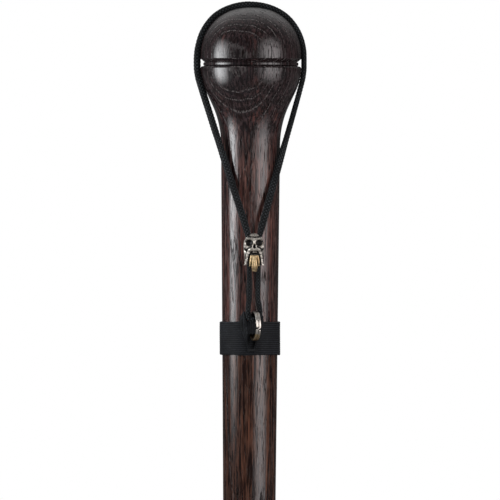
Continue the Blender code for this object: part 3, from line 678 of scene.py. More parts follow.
def wood_material(name):
    """Ring-porous hardwood, stained nearly black, with open pores under a gloss varnish."""
    cut_from, dark, light, streak, flush = WOODS[name]
    s = Shader(name)
    place = s.place()
    x, y, z = s.split(place)
    off_knot = s.vector("DIVIDE", s.vector("SUBTRACT", place, KNOT), KNOT_REACH)
    knot = s.math("EXPONENT", s.vector("DOT_PRODUCT", off_knot, off_knot) * -1.0)
    bent = s.join(s.split(off_knot)[0] * knot * KNOT_BEND, 0.0, 0.0)
    grain = s.vector("ADD", s.vector("ADD", place, cut_from), bent)
    slope = s.math("ABSOLUTE", s.split(s.add("ShaderNodeTexCoord", "Normal"))[2])
    end_grain = s.step(slope, 0.15, 0.60)
    off_pith = s.split(s.vector("SUBTRACT", place, PITH))
    radius = s.vector("LENGTH", s.join(off_pith[0], off_pith[1], 0.0))
    for size, detail, reach in RING_WAVES:
        radius = (s.noise(grain, size, detail) - 0.5) * reach + radius
    ring = radius / GROWTH_RING
    ring = s.noise(s.join(ring, 0.0, z / 400.0), (2.3, 1.0, 1.0), 1.0) * 1.6 + ring
    year = s.math("FRACT", ring)
    early = s.band(year, 0.0, 0.08, 0.26, 0.50)
    late = s.band(year, 0.62, 0.90, 0.96, 1.0)
    pale_row = s.band(year, 0.02, 0.07, 0.12, 0.20)

    # The pores stand open in front and on the right, and the varnish fills them on the left
    open_grain = s.step(s.noise(grain, (9.0, 9.0, 60.0), 2.0) * 9.0 + x, -7.0, 1.0)
    open_grain = s.math("MAXIMUM", open_grain, knot)
    vessels = s.noise(grain, (0.46, 0.46, 7.0), 2.0, 0.55)
    edge = knot * -0.06 + s.step(early, 0.0, 1.0, 0.620, 0.545)
    pores = s.step(vessels - edge, 0.0, 0.040)
    fibres = s.noise(grain, (0.80, 0.80, 12.0), 3.0, 0.68)
    streaks = s.noise(grain, (1.3, 1.3, 38.0), 2.5, 0.6)
    veins = s.noise(s.vector("ADD", grain, (31.0, 7.0, 0.0)), (1.0, 1.0, 28.0), 3.0, 0.6)
    blush = s.noise(grain, (8.0, 8.0, 90.0), 1.5)
    clouds = s.noise(grain, (16.0, 16.0, 46.0), 2.0)

    ground = s.mix(s.step(fibres, 0.41, 0.60), dark, light)
    in_front = s.step(s.math("ABSOLUTE", x - 3.0), 4.0, 12.0, 1.0, 0.35) * s.step(y, -8.0, 6.0, 1.0, 0.0)
    thin_stain = in_front * s.step(z, *THIN_STAIN_HEIGHTS, 1.0, 0.0)
    ground = s.mix(thin_stain * s.step(fibres, 0.40, 0.62, 0.10, 0.90), ground, flush)
    ground = s.mix(late * s.step(end_grain, 0.0, 1.0, 0.20, 0.80), ground, LATE_WOOD)
    redder = blush + s.step(z, *REDDER_HEIGHTS, 0.10, -0.12)
    red = s.step(streaks, 0.47, 0.60) * s.step(redder, 0.38, 0.62) * s.step(end_grain, 0.0, 1.0, 1.0, 0.20)
    ground = s.mix(red * s.step(fibres, 0.30, 0.60, 0.25, 0.95), ground, streak)
    ground = s.mix(s.step(veins, 0.51, 0.59, 0.0, 0.90), ground, DARK_VEIN)
    ground = s.mix(early * 0.30, ground, EARLY_WOOD)
    ground = s.mix(s.step(clouds, 0.52, 0.72, 0.0, 0.45), ground, DARK_CLOUD)
    dashes = pale_row * s.step(s.noise(grain, (0.6, 0.6, 2.4), 1.0), 0.42, 0.54)
    ground = s.mix(dashes * s.step(end_grain, 0.0, 1.0, 0.25, 0.80), ground, PALE_DASH)

    # Fibres and pores rough up the varnish where the grain is open
    coarse = (pores * -1.8 + fibres * 2.1) * s.step(open_grain, 0.0, 1.0, 0.22, 1.0)
    relief = s.noise(grain, (3.0, 3.0, 30.0), 2.0) * 1.3 + coarse
    return s.set(
        Base_Color=s.mix(pores * 0.92, ground, OPEN_PORE),
        Roughness=s.step(fibres, 0.3, 0.7, 0.34, 0.52),
        Specular_IOR_Level=0.04,
        Normal=s.bump(relief, 0.070 * MM),
        Coat_Weight=pores * open_grain * -0.85 + 1.0,
        Coat_Roughness=0.11,
        Coat_IOR=1.55,
        Coat_Normal=s.bump(relief, 0.040 * MM),
    )


def steel_material():
    """Turned steel: fine tool marks round the axis."""
    s = Shader("turned_steel")
    place = s.place()
    marks = s.noise(s.join(0.0, 0.0, s.split(place)[2]), (1.0, 1.0, 0.12), 2.0)
    stains = s.noise(place, 3.0, 3.0)
    return s.set(
        Base_Color=s.mix(s.step(stains, 0.4, 0.8), STEEL, STAINED_STEEL),
        Metallic=1.0,
        Roughness=s.step(marks, 0.3, 0.7, 0.24, 0.42),
        Normal=s.bump(marks, 0.01 * MM),
    )


def rubber_material():
    """Moulded rubber: a fine grain, a dull bloom, and grey dust rubbed into the foot."""
    s = Shader("moulded_rubber")
    place = s.place()
    bloom = s.noise(place, (6.0, 6.0, 4.0), 3.0)
    scuffs = s.noise(place, (0.5, 0.5, 2.2), 3.0, 0.7)
    dust = s.step(s.split(place)[2], 0.5, 9.0, 1.0, 0.0) * s.step(scuffs * bloom, 0.20, 0.36)
    ground = s.mix(s.step(bloom, 0.3, 0.75), RUBBER, RUBBER_BLOOM)
    return s.set(
        Base_Color=s.mix(dust * 0.7, ground, DUST),
        Roughness=s.step(bloom, 0.3, 0.7, 0.56, 0.74),
        Normal=s.bump(s.noise(place, 0.22, 3.0, 0.65), 0.035 * MM),
    )


def yarn_material(name):
    """Black yarn: fine fibres over the modelled weave, lighter on the crowns as painted light and a little
    wear.
    """
    dark, light, fuzz, fibre = YARNS[name]
    s = Shader(name)
    place = s.place()
    fibres = s.noise(place, fibre, 3.0, 0.65)
    wear = s.noise(place, (5.0, 5.0, 7.0), 3.0)
    # Painted light: the weave's crowns are lighter than its valleys, with a little wear mixed in
    painted_crown_light = s.step(s.attribute("crown"), 0.50, 0.98) * s.step(fibres, 0.3, 0.75, 0.45, 1.0)
    return s.set(
        Base_Color=s.mix(painted_crown_light * s.step(wear, 0.35, 0.65, 0.45, 1.0), dark, light),
        Roughness=s.step(fibres, 0.3, 0.7, 0.52, 0.80),
        Specular_IOR_Level=0.15,
        Sheen_Weight=fuzz,
        Sheen_Roughness=0.45,
        Sheen_Tint=YARN_SHEEN,
        Normal=s.bump(fibres, 0.03 * MM),
    )


def cast_material(name):
    """Antiqued cast metal: bright where it is rubbed, with a dark matt patina in the hollows and painted shade
    beside the skull's moustache.
    """
    bright, dull, patina, roughness = CASTINGS[name]
    s = Shader(name)
    place = s.place()
    pits = s.noise(place, 0.20, 3.0, 0.7)
    mottle = s.noise(place, 0.9, 3.0)
    darkening = (mottle - 0.5) * 0.44 + s.attribute("hollow")
    tarnish_and_painted_shade = s.step(darkening, 0.14, 0.34)
    black = s.step(darkening, 0.24, 0.44)
    ground = s.mix(s.step(mottle, 0.42, 0.66, 0.0, 0.5), bright, dull)
    ground = s.mix(tarnish_and_painted_shade, ground, dull)
    pitted = s.step(pits, 0.3, 0.8, roughness, roughness + 0.16)
    return s.set(
        Base_Color=s.mix(black, ground, patina),
        Metallic=s.step(black, 0.0, 1.0, 0.88, 0.10),
        Roughness=tarnish_and_painted_shade * 0.22 + pitted,
        Normal=s.bump(pits, 0.020 * MM),
    )


def plating_material():
    """Warm nickel plating with hairlines round the wire, brassy and stained where it has worn thin. Its inner
    faces and back half are darkened as painted shade.
    """
    s = Shader("ring_plating")
    place = s.place()
    y, z = s.split(place)[1:]
    hairlines = s.noise(s.join(s.attribute("around"), s.attribute("along"), 0.0), (0.10, 3.0, 1.0), 3.0, 0.6)
    spots = s.noise(place, (0.9, 0.9, 1.6), 3.0)
    worn_top = (SEAM + RING_RISE - RING_WORN_BELOW) / MM
    worn = s.step(s.step(z, worn_top - 2.0, worn_top, 1.0, 0.0) * 0.30 + spots, 0.60, 0.78)
    stain = worn * s.step(hairlines, 0.45, 0.60)
    # Painted shade: the ring's back half and its inner faces are darkened as though in shadow
    darkening = s.step(y, RING_CENTRE.y / MM - 3.0, RING_CENTRE.y / MM - 0.5)
    darkening = s.math("MAXIMUM", darkening * 0.9, s.attribute("inside"))
    metal = s.mix(darkening, s.mix(worn, NICKEL, WORN_NICKEL), NICKEL_IN_PAINTED_SHADE)
    return s.set(
        Base_Color=s.mix(stain * 0.8, metal, STAINED_NICKEL),
        Metallic=1.0,
        Roughness=s.step(hairlines, 0.35, 0.7, 0.30, 0.42) + s.step(worn, 0.0, 1.0, 0.0, 0.06),
        Normal=s.bump(hairlines, 0.006 * MM),
    )


def floor_material():
    """A pale, matt floor, dim to gloss as the room is. Where the camera sees it, a glow makes it white."""
    s = Shader("pale_floor")
    return s.set(
        Base_Color=s.mix(s.ray("Glossy"), FLOOR, FLOOR_IN_GLOSS),
        Roughness=0.85,
        Emission_Color=(1.0, 1.0, 1.0),
        Emission_Strength=s.ray("Camera") * FLOOR_GLOW,
    )


def finished(name, bm, sharp_angle=180.0):
    """The mesh of a bmesh, faces out and shaded smooth where its edges bend less than this, in degrees."""
    bmesh.ops.recalc_face_normals(bm, faces=bm.faces)
    mesh = bpy.data.meshes.new(name)
    bm.to_mesh(mesh)
    bm.free()
    mesh.shade_smooth()
    if sharp_angle < 180.0:
        mesh.set_sharp_from_angle(angle=math.radians(sharp_angle))
    return mesh


def grid_mesh(name, points, ends="capped", sharp_angle=180.0, **attributes):
    """A closed mesh on rows by columns of points. Columns close round, and rows too if ends is joined."""
    rows, columns = points.shape[:2]
    index = np.arange(rows * columns).reshape(rows, columns)
    down = np.roll(index, -1, 0) if ends == "joined" else index[1:]
    top = index if ends == "joined" else index[:-1]
    quads = np.stack([top, np.roll(top, -1, 1), np.roll(down, -1, 1), down], 2)
    faces = quads.reshape(-1, 4).tolist()
    if ends == "capped":
        faces += [index[0].tolist(), index[-1].tolist()[::-1]]
    mesh = bpy.data.meshes.new(name)
    mesh.from_pydata(points.reshape(-1, 3).tolist(), [], faces)
    for key, values in attributes.items():
        values = np.broadcast_to(values, (rows, columns)).astype(np.float32)
        mesh.attributes.new(key, "FLOAT", "POINT").data.foreach_set("value", values.ravel())
    bm = bmesh.new()
    bm.from_mesh(mesh)
    bmesh.ops.remove_doubles(bm, verts=bm.verts, dist=MERGE_DISTANCE)
    bpy.data.meshes.remove(mesh)
    return finished(name, bm, sharp_angle)


def piece(name, mesh, material, body, slot, *nodes):
    """An object that rides on a body, has this material and stands for these nodes, which it hides. The slot
    is not used.
    """
    made = bpy.data.objects.new(name, mesh)
    mesh.materials.append(material)
    bpy.context.scene.collection.objects.link(made)
    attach(made, body)
    if nodes:
        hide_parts(*nodes)
    return made


def polar(reach, angle, height):
    """Points at these distances from Z, angles from +X and heights. Arrays spread out to one another."""
    return np.stack(np.broadcast_arrays(reach * np.cos(angle), reach * np.sin(angle), height), -1)


def arc(centre, radius, start, end, steps):
    """Points along an arc in the (radius, height) plane, from angle start to angle end."""
    angles = [between(start, end, step / steps) for step in range(steps + 1)]
    return [(centre[0] + radius * math.cos(angle), centre[1] + radius * math.sin(angle)) for angle in angles]


def eased(outline, reach, steps=4):
    """The outline with its sharp corners rounded, over at most this reach on either side."""
    points = [Vector(point) for point in outline]
    made = [points[0]]
    for before, corner, after in zip(points, points[1:], points[2:]):
        back, on = before - corner, after - corner
        if min(back.length, on.length) < reach / 10 or back.angle(-on) < EASED_ANGLE:
            made.append(corner)
            continue
        start = corner + back.normalized() * min(reach, back.length * EASED_SHARE)
        end = corner + on.normalized() * min(reach, on.length * EASED_SHARE)
        for step in range(steps + 1):
            share = step / steps
            made.append(start.lerp(corner, share).lerp(corner.lerp(end, share), share))
    return [tuple(point) for point in made + [points[-1]]]


def turned(name, outline, closed=False):
    """The solid that an outline of (radius, height) sweeps round Z."""
    angles = np.arange(TURNED_SIDES) * math.tau / TURNED_SIDES
    radii, heights = np.array(outline).T[..., None]
    ends = "joined" if closed else "open"
    return grid_mesh(name, polar(radii, angles, heights), ends=ends, sharp_angle=TURNED_SHARP_ANGLE)


def flare_outline():
    """From the groove's foot down to where the taper starts."""
    narrowing = (KNOB_RADIUS - NECK_RADIUS) / (1.0 - math.cos(FLARE_ANGLE))
    bowl_radius = narrowing * FLARE_BOWL_SHARE
    neck_radius = narrowing * FLARE_NECK_SHARE
    points = arc((KNOB_RADIUS - bowl_radius, GROOVE_FOOT), bowl_radius, 0.0, -FLARE_ANGLE, FLARE_ROWS)
    cone_top = points[-1]
    neck_start = NECK_RADIUS + neck_radius * (1.0 - math.cos(FLARE_ANGLE))
    cone_foot = cone_top[1] - (cone_top[0] - neck_start) / math.tan(FLARE_ANGLE)
    neck_centre = (NECK_RADIUS + neck_radius, cone_foot - neck_radius * math.sin(FLARE_ANGLE))
    return points + arc(neck_centre, neck_radius, math.pi - FLARE_ANGLE, math.pi, FLARE_ROWS)


TAPER_TOP = flare_outline()[-1][1]


def wood_radius(height):
    """The radius of neck and shaft."""
    share = (height - SHAFT_FOOT) / (TAPER_TOP - SHAFT_FOOT)
    return between(TIP_RADIUS, NECK_RADIUS, share**TAPER_POWER)


def taper_outline(top, foot, rows):
    """The side of neck or shaft from top to foot."""
    heights = [between(top, foot, row / rows) for row in range(rows + 1)]
    return [(wood_radius(height), height) for height in heights]


def stud_bore(face, direction):
    """The bore for the stud, which goes into the wood from a face, up for 1 and down for -1."""
    end = face + direction * STUD_BORE_DEPTH
    return [(STUD_BORE_RADIUS, face), (STUD_BORE_RADIUS, end), (0.0, end)]


def dome_reach(elevation):
    """How far the dome reaches from the knob's centre at an angle above the horizontal."""
    power = DOME_FULLNESS
    return KNOB_RADIUS * (np.cos(elevation) ** power + np.sin(elevation) ** power) ** (-1.0 / power)


def dome_outline():
    """From the knob's top down to its widest place, which it leaves out."""
    angles = math.pi / 2 * (1.0 - np.arange(DOME_ROWS) / DOME_ROWS)
    reach = dome_reach(angles)
    points = zip(reach * np.cos(angles), KNOB_CENTRE + reach * np.sin(angles))
    return [(0.0, CANE_HEIGHT)] + list(points)[1:]


def groove_outline():
    """The groove round the knob: slanting walls, a flat bead on its floor and a chamfer at its foot."""
    floor = KNOB_RADIUS - GROOVE_DEPTH
    middle = KNOB_CENTRE - GROOVE_BEAD_DROP
    points = [(KNOB_RADIUS, KNOB_CENTRE), (KNOB_RADIUS, KNOB_CENTRE - GROOVE_LIP)]
    for share in np.linspace(-1.0, 1.0, GROOVE_BEAD_POINTS):
        rise = GROOVE_BEAD_RISE * rim(share, GROOVE_BEAD_FULLNESS)
        points.append((floor + rise, middle - share * GROOVE_BEAD_HALF_HEIGHT))
    return points + [(KNOB_RADIUS - GROOVE_CHAMFER, GROOVE_FOOT)]


def make_wood():
    """The handle, and the shaft that the stud joins to it."""
    face = SEAM + GAP / 2
    outline = dome_outline() + groove_outline()
    outline += flare_outline()[1:]
    outline += taper_outline(TAPER_TOP, face, NECK_ROWS)[1:]
    mesh = turned("turned_handle", eased(outline, GROOVE_EASE) + stud_bore(face, 1))
    piece("turned_handle", mesh, wood_material("handle_wood"), "cane", "wood", "knob_handle")

    face = SEAM - GAP / 2
    outline = stud_bore(face, -1)[::-1]
    outline += taper_outline(face, SHAFT_FOOT + TIP_CHAMFER, SHAFT_ROWS)
    outline += [(TIP_RADIUS - TIP_CHAMFER, SHAFT_FOOT), (0.0, SHAFT_FOOT)]
    mesh = turned("turned_shaft", outline)
    piece("turned_shaft", mesh, wood_material("shaft_wood"), "cane", "wood", "shaft")


def make_ferrule(rubber):
    """The rubber tip: a grooved tread, a skirt, ribs round the collar and a socket for the shaft."""
    outline = [(0.0, 0.0)]
    for groove in range(TREAD_GROOVES):
        inner = TREAD_PAD_RADIUS + groove * TREAD_PITCH
        outer = inner + TREAD_GROOVE_WIDTH
        outline += [(inner, 0.0), (inner, TREAD_GROOVE_DEPTH), (outer, TREAD_GROOVE_DEPTH), (outer, 0.0)]
    outline.append((FERRULE_FOOT_RADIUS - FERRULE_FOOT_EDGE, 0.0))
    outline.append((FERRULE_FOOT_RADIUS, FERRULE_FOOT_EDGE))
    for row in range(SKIRT_ROWS + 1):
        share = row / SKIRT_ROWS
        swell = (FERRULE_FOOT_RADIUS - FERRULE_COLLAR) * (1.0 - math.sin(share * math.pi / 2))
        outline.append((FERRULE_COLLAR + swell, between(FERRULE_FOOT_HEIGHT, FERRULE_SKIRT_TOP, share)))
    first_rib = FERRULE_HEIGHT - FERRULE_LIP_RADIUS - RIB_COUNT * RIB_PITCH
    slope = (RIB_HEIGHT - RIB_FLAT) / 2
    crest = FERRULE_COLLAR + RIB_RISE
    for rib in range(RIB_COUNT):
        foot = first_rib + rib * RIB_PITCH
        outline += [(FERRULE_COLLAR, foot), (crest, foot + slope), (crest, foot + slope + RIB_FLAT)]
        outline.append((FERRULE_COLLAR, foot + RIB_HEIGHT))
    lip_centre = (FERRULE_COLLAR - FERRULE_LIP_RADIUS, FERRULE_HEIGHT - FERRULE_LIP_RADIUS)
    outline += arc(lip_centre, FERRULE_LIP_RADIUS, 0.0, math.pi / 2, LIP_ROWS)
    outline.append((wood_radius(FERRULE_HEIGHT) + GAP, FERRULE_HEIGHT))
    outline += [(FERRULE_SOCKET, SHAFT_FOOT), (FERRULE_SOCKET, FERRULE_FLOOR), (0.0, FERRULE_FLOOR)]
    mesh = turned("rubber_ferrule", eased(outline, RUBBER_EASE))
    piece("rubber_ferrule", mesh, rubber, "cane", "rubber", "ferrule")


BAND_BORE = wood_radius(BAND_TOP) + GAP
BAND_OUTER = BAND_BORE + BAND_WALL
STRAND_FORWARD = wood_radius(SKULL_FOOT + SKULL_HEIGHT) + GAP + SKULL_HALF_WIDTH
RING_CENTRE = Vector((RING_SIDEWAYS, -(BAND_OUTER + GAP + RING_RADIUS), SEAM + RING_RISE))
IN_STRAP = np.array(Matrix.Rotation(STRAP_TURN, 3, "Z"))


def turned_to_strap(points):
    """Points of the strap's own frame, as they stand on the cane."""
    return np.asarray(points, float) @ IN_STRAP.T


def weave(across, along):
    """Webbing's relief, from 0 to 1: cords across it at unit pitch, each bulging once per unit along it."""
    rib = np.abs(np.cos(across * math.pi)) ** WEB_FULLNESS
    row = np.floor(across + 0.5)
    return rib * (1.0 - WEB_DIP * ripple((along + 0.5 * (row % 2)) * math.tau))


def make_band(fabric):
    """Webbing sleeve round the shaft. Its ends lap at the back, where they are sewn."""
    angles = np.arange(BAND_COLUMNS) * math.tau / BAND_COLUMNS
    heights = BAND_FOOT + BAND_HEIGHT * np.arange(BAND_ROWS + 1)[:, None] / BAND_ROWS
    edge = np.minimum(heights - BAND_FOOT, BAND_TOP - heights) / BAND_EDGE
    drawn_in = BAND_EDGE * (1.0 - rim(1.0 - np.clip(edge, 0.0, 1.0), 2))
    height = heights + waves(angles, BAND_WAVES) * np.linspace(-1.0, 1.0, BAND_ROWS + 1)[:, None]
    crown = weave((height - BAND_FOOT) / WEB_PITCH, angles * BAND_OUTER / WEB_STITCH)
    slack = waves(angles, BAND_SLACK) * np.cos((heights - BAND_FOOT) * BAND_SLACK_TURN)
    behind = (angles - math.pi / 2 + math.pi) % math.tau - math.pi
    lap = ease(behind, -LAP_HALF_ANGLE, -LAP_HALF_ANGLE + LAP_STEP_ANGLE)
    lap = lap * (1.0 - ease(behind, LAP_HALF_ANGLE - LAP_FADE_ANGLE, LAP_HALF_ANGLE))
    reach = BAND_OUTER - WEB_RELIEF + crown * WEB_RELIEF + slack + lap * LAP_RISE
    reach = np.maximum(reach - drawn_in, BAND_BORE + BAND_LEAST_WALL)
    inner_height = np.repeat(heights[::-BAND_ROWS_PER_INNER_ROW], BAND_COLUMNS, 1)
    inner_height[0] = height[-1]
    inner_height[-1] = height[0]
    inner_reach = np.full_like(inner_height, BAND_BORE)
    points = polar(np.vstack([reach, inner_reach]), angles, np.vstack([height, inner_height]))
    crown = np.vstack([crown, np.zeros_like(inner_reach)])
    mesh = grid_mesh("woven_band", turned_to_strap(points), ends="joined", crown=crown)
    band = piece("woven_band", mesh, fabric, "strap", "woven_fabric", "strap_band")
    flat = (math.tau * BAND_OUTER, BAND_TOP - BAND_FOOT)


def strand(line):
    """Rings of points round a line of thread, drawn to a point at its ends."""
    along = unit(np.gradient(line, axis=0))
    first = unit(np.cross(along, OFF_THREADS))[:, None]
    second = np.cross(along, first[:, 0])[:, None]
    turn = (np.arange(THREAD_SIDES) * math.tau / THREAD_SIDES)[:, None]
    share = np.linspace(-1.0, 1.0, len(line))
    size = THREAD_RADIUS * rim(share, THREAD_END_FULLNESS, THREAD_END_LEAST)[:, None, None]
    return line[:, None] + (np.cos(turn) * first + np.sin(turn) * second) * size


def sew(name, lines, thread, *nodes):
    """A piece of many short threads, along lines of points in the strap's frame."""
    bm = bmesh.new()
    for line in turned_to_strap(lines):
        mesh = grid_mesh("thread", strand(line), crown=1.0)
        bm.from_mesh(mesh)
        bpy.data.meshes.remove(mesh)
    piece(name, finished(name, bm), thread, "strap", "thread", *nodes)


def make_lap_seam(thread):
    """Two rows of stitches that hold the band's lapped ends at the back."""
    share = np.linspace(0.0, 1.0, STITCH_STEPS + 1)
    pitch = (BAND_HEIGHT - 2 * SEAM_MARGIN) / SEAM_STITCHES
    start = BAND_FOOT + SEAM_MARGIN + pitch * np.arange(SEAM_STITCHES)[:, None]
    height = start + pitch * SEAM_STITCH_SHARE * share
    reach = BAND_OUTER + LAP_RISE + SEAM_ARCH * np.sin(share * math.pi) - SEAM_SUNK
    rows = [polar(reach, math.pi / 2 + side * LAP_HALF_ANGLE, height) for side in SEAM_SIDES]
    sew("band_seam", np.concatenate(rows), thread)


def make_ring(plating):
    """Two turns of flat strip side by side, joined by a jog. The corners of the strip are rounded."""
    middle = RING_RADIUS - RING_STRIP_DEPTH / 2
    offset = (RING_STRIP_WIDTH + RING_TURN_GAP) / 2
    depth, width = RING_STRIP_DEPTH / 2, RING_STRIP_WIDTH / 2
    corners = [(depth, 0.0), (depth, width), (-depth, width), (-depth, -width), (depth, -width), (depth, 0.0)]
    section = np.array(eased(corners, RING_STRIP_EDGE, RING_EDGE_STEPS)[:-1])
    spent = np.arange(RING_STEPS + 1)[:, None] / RING_STEPS
    angle = RING_JOG + 2 * (math.tau - RING_JOG) * spent
    side = 2.0 * ease(angle, math.tau - RING_JOG, math.tau + RING_JOG) - 1.0
    end = np.minimum(spent, 1.0 - spent) * RING_STEPS
    shrink = 1.0 - RING_END_SHRINK * (1.0 - np.clip(end / RING_END_STEPS, 0.0, 1.0)) ** 2
    reach = middle + section[:, 0] * shrink
    around = angle + RING_JOG_AT
    sideways = side * offset + section[:, 1] * shrink
    points = np.stack([sideways, -reach * np.cos(around), reach * np.sin(around)], 2)
    points = points @ np.array(Matrix.Rotation(RING_YAW, 3, "Z")).T + np.array(RING_CENTRE)
    mesh = grid_mesh(
        "double_ring",
        turned_to_strap(points),
        sharp_angle=RING_SHARP_ANGLE,
        along=angle * middle / MM,
        around=distances(section) / MM,
        # inside marks the strip's inner faces, which the plating darkens as painted shade
        inside=section[:, 0] < 0.0,
    )
    piece("double_ring", mesh, plating, "ring", "ring_plating", "split_ring")


def loop_place(across, up):
    """A point of the loop's middle surface in the strap's frame. across runs from -1 to 1, up from 0 to 1."""
    centre = RING_CENTRE
    inside = RING_RADIUS - RING_STRIP_DEPTH - LOOP_CLEARANCE - LOOP_THICKNESS / 2
    waist_above = inside - LOOP_WAIST_TOP_MARGIN
    waist_below = inside - LOOP_WAIST_MARGIN
    spread = abs(across)
    waist = 1.0 - ease(spread, *LOOP_WAIST_COLUMNS)
    corner = ease(spread, *LOOP_CORNER_COLUMNS)
    top_wing = BAND_TOP + between(LOOP_TOP_RISE, LOOP_CORNER_RISE, corner)
    foot_wing = BAND_FOOT + LOOP_FOOT_LIFT
    top = between(top_wing, centre.z + waist_above, waist)
    foot = between(foot_wing, centre.z - waist_below, waist)
    height = between(foot, top, up)
    opening = ease(height, foot_wing, BAND_TOP)
    half_width = between(LOOP_FOOT_HALF_WIDTH, LOOP_TOP_HALF_WIDTH, opening)
    sideways = centre.x - inside * math.sin(RING_YAW) + across * half_width
    flat = np.sqrt((BAND_OUTER + GAP + LOOP_THICKNESS / 2) ** 2 - sideways**2)
    drop = np.minimum(np.abs(height - centre.z), waist_below) * waist
    gathered = -centre.y - np.sqrt(inside**2 - drop**2)
    sewn_top = foot_wing + 2 * TACK_MARGIN + TACK_WIDTH
    pull = (1.0 - ease(spread, *LOOP_PULL_COLUMNS)) * ease(height, sewn_top, centre.z - waist_below)
    pleat = LOOP_PLEAT_DEPTH * ease(spread, *LOOP_PLEAT_COLUMNS) * np.sin(up * LOOP_PLEATS * math.tau)
    forward = between(flat, gathered, pull) + pleat * opening
    return np.stack([sideways, -forward, height], -1)


def loop_outward(across, up):
    """The direction out of the loop's surface at a place of it."""
    right, left = np.minimum(across + SURFACE_STEP, 1.0), np.maximum(across - SURFACE_STEP, -1.0)
    top, foot = np.minimum(up + SURFACE_STEP, 1.0), np.maximum(up - SURFACE_STEP, 0.0)
    along = loop_place(right, up) - loop_place(left, up)
    return unit(np.cross(along, loop_place(across, top) - loop_place(across, foot)))


def folded(front, back):
    """The front's columns, and then the back's from the last to the first."""
    return np.concatenate([front, back[:, ::-1]], 1)


def make_loop(fabric):
    """The gathered tape that holds the ring, with rounded selvedges."""
    even = np.linspace(-1.0, 1.0, LOOP_COLUMNS + 1)
    crowded = -np.cos(np.linspace(0.0, math.pi, LOOP_COLUMNS + 1))
    up = np.linspace(0.0, 1.0, LOOP_ROWS + 1)
    across, up = np.meshgrid(between(even, crowded, LOOP_CROWDING), up, indexing="ij")
    middle = loop_place(across, up)
    crown = weave(across * LOOP_WEB_COLUMNS / 2, distances(middle) / WEB_STITCH)
    edge = rim(across, LOOP_SIDE_FULLNESS) * rim(2.0 * up - 1.0, LOOP_END_FULLNESS)
    half = (LOOP_THICKNESS / 2 - WEB_RELIEF * (1.0 - crown)) * np.maximum(edge, LOOP_EDGE_LEAST)
    lifted = loop_outward(across, up) * half[..., None]
    points = folded(middle + lifted, middle - lifted)
    mesh = grid_mesh("gathered_loop", turned_to_strap(points), crown=folded(crown, crown))
    loop = piece("gathered_loop", mesh, fabric, "strap", "woven_fabric", "ring_loop")


def thread_arch(share):
    """How far a satin stitch stands above where its ends would lie, at a share of its length."""
    return THREAD_RADIUS * (THREAD_ARCH * np.sin(share * math.pi) - 1.0)


def make_tacks(thread):
    """Satin stitches that sew the loop's sides and foot to the band."""
    half = TACK_WIDTH / 2 / LOOP_TOP_HALF_WIDTH
    middle = 1.0 - half - TACK_MARGIN / 2 / LOOP_TOP_HALF_WIDTH
    foot = loop_place(1.0, 0.0)[2]
    tall = loop_place(1.0, 1.0)[2] - foot
    stitch = np.arange(TACK_STITCHES)[:, None] + 0.5
    share = np.linspace(0.0, 1.0, SIDE_TACK_STEPS + 1)
    rise = (stitch + STITCH_SLANT * (share - 0.5)) * STITCH_PITCH
    up = (BAND_TOP - TACK_LENGTH + rise - foot) / tall
    height = (LOOP_THICKNESS / 2 + THREAD_LIFT + thread_arch(share))[:, None]
    for side, name in ((-1, "left"), (1, "right")):
        at = side * middle + (share * 2.0 - 1.0) * half
        lines = loop_place(at, up) + loop_outward(at, up) * height
        sew(f"tack_{name}", lines, thread, f"bar_tack_{name}")
    radius = BAND_OUTER + GAP + LOOP_THICKNESS + THREAD_LIFT
    share = np.linspace(0.0, 1.0, STITCH_STEPS + 1)
    turn = (stitch / TACK_STITCHES - 0.5) * TACK_LENGTH / radius
    height = BAND_FOOT + LOOP_FOOT_LIFT + TACK_MARGIN + share * TACK_WIDTH
    sew("tack_foot", polar(radius + thread_arch(share), turn - math.pi / 2, height), thread, "bar_tack_foot")


def smooth_route(points, spacing):
    """Points about this far apart along a smooth curve through a route, and how far along it they lie."""
    ends = [points[0] * 2 - points[1]] + points + [points[-1] * 2 - points[-2]]
    fine = []
    for a, b, c, d in zip(ends, ends[1:], ends[2:], ends[3:]):
        for step in range(ROUTE_SUBSTEPS):
            t = step / ROUTE_SUBSTEPS
            bend = (2 * a - 5 * b + 4 * c - d) * t**2 + (3 * b - a - 3 * c + d) * t**3
            fine.append(b + ((c - a) * t + bend) / 2)
    fine = np.array([tuple(point) for point in fine + [points[-1]]])
    walked = distances(fine)
    stops = np.linspace(0.0, walked[-1], max(2, round(walked[-1] / spacing)) + 1)
    return np.stack([np.interp(stops, walked, fine[:, axis]) for axis in range(3)], 1), stops


def cord_route():
    """From the bight's middle up the left strand, over the knob, and down the right strand to that middle."""
    hitch = [RING_CENTRE + Vector((side, -forward, up)) for side, forward, up in HITCH_ROUTE]
    right = [Vector((side, -forward, CANE_HEIGHT - drop)) for side, forward, drop in CORD_OVER_KNOB]
    for side, forward, drop in CORD_TO_RING:
        right.append(Vector((side, -STRAND_FORWARD - forward, CANE_HEIGHT - drop)))
    left = [Vector((-point.x, point.y, point.z)) for point in right[:0:-1]]
    down, up = hitch[HITCH_BOTTOM::-1], hitch[:HITCH_BOTTOM - 1:-1]
    return down + left + right + up


def braid_height(around, along):
    """A braid's relief, from 0 to 1: two families of yarn that cross and take turns on top."""
    first = around + along
    second = around - along
    on_first = np.abs(np.cos((first - np.floor(first) - 0.5) * math.pi))
    on_second = np.abs(np.cos((second - np.floor(second) - 0.5) * math.pi))
    even = (np.floor(first) + np.floor(second)) % 2 < 1
    above, below = np.where(even, (on_first, on_second), (on_second, on_first))
    return above**BRAID_ABOVE_FULLNESS * below**BRAID_BELOW_FULLNESS


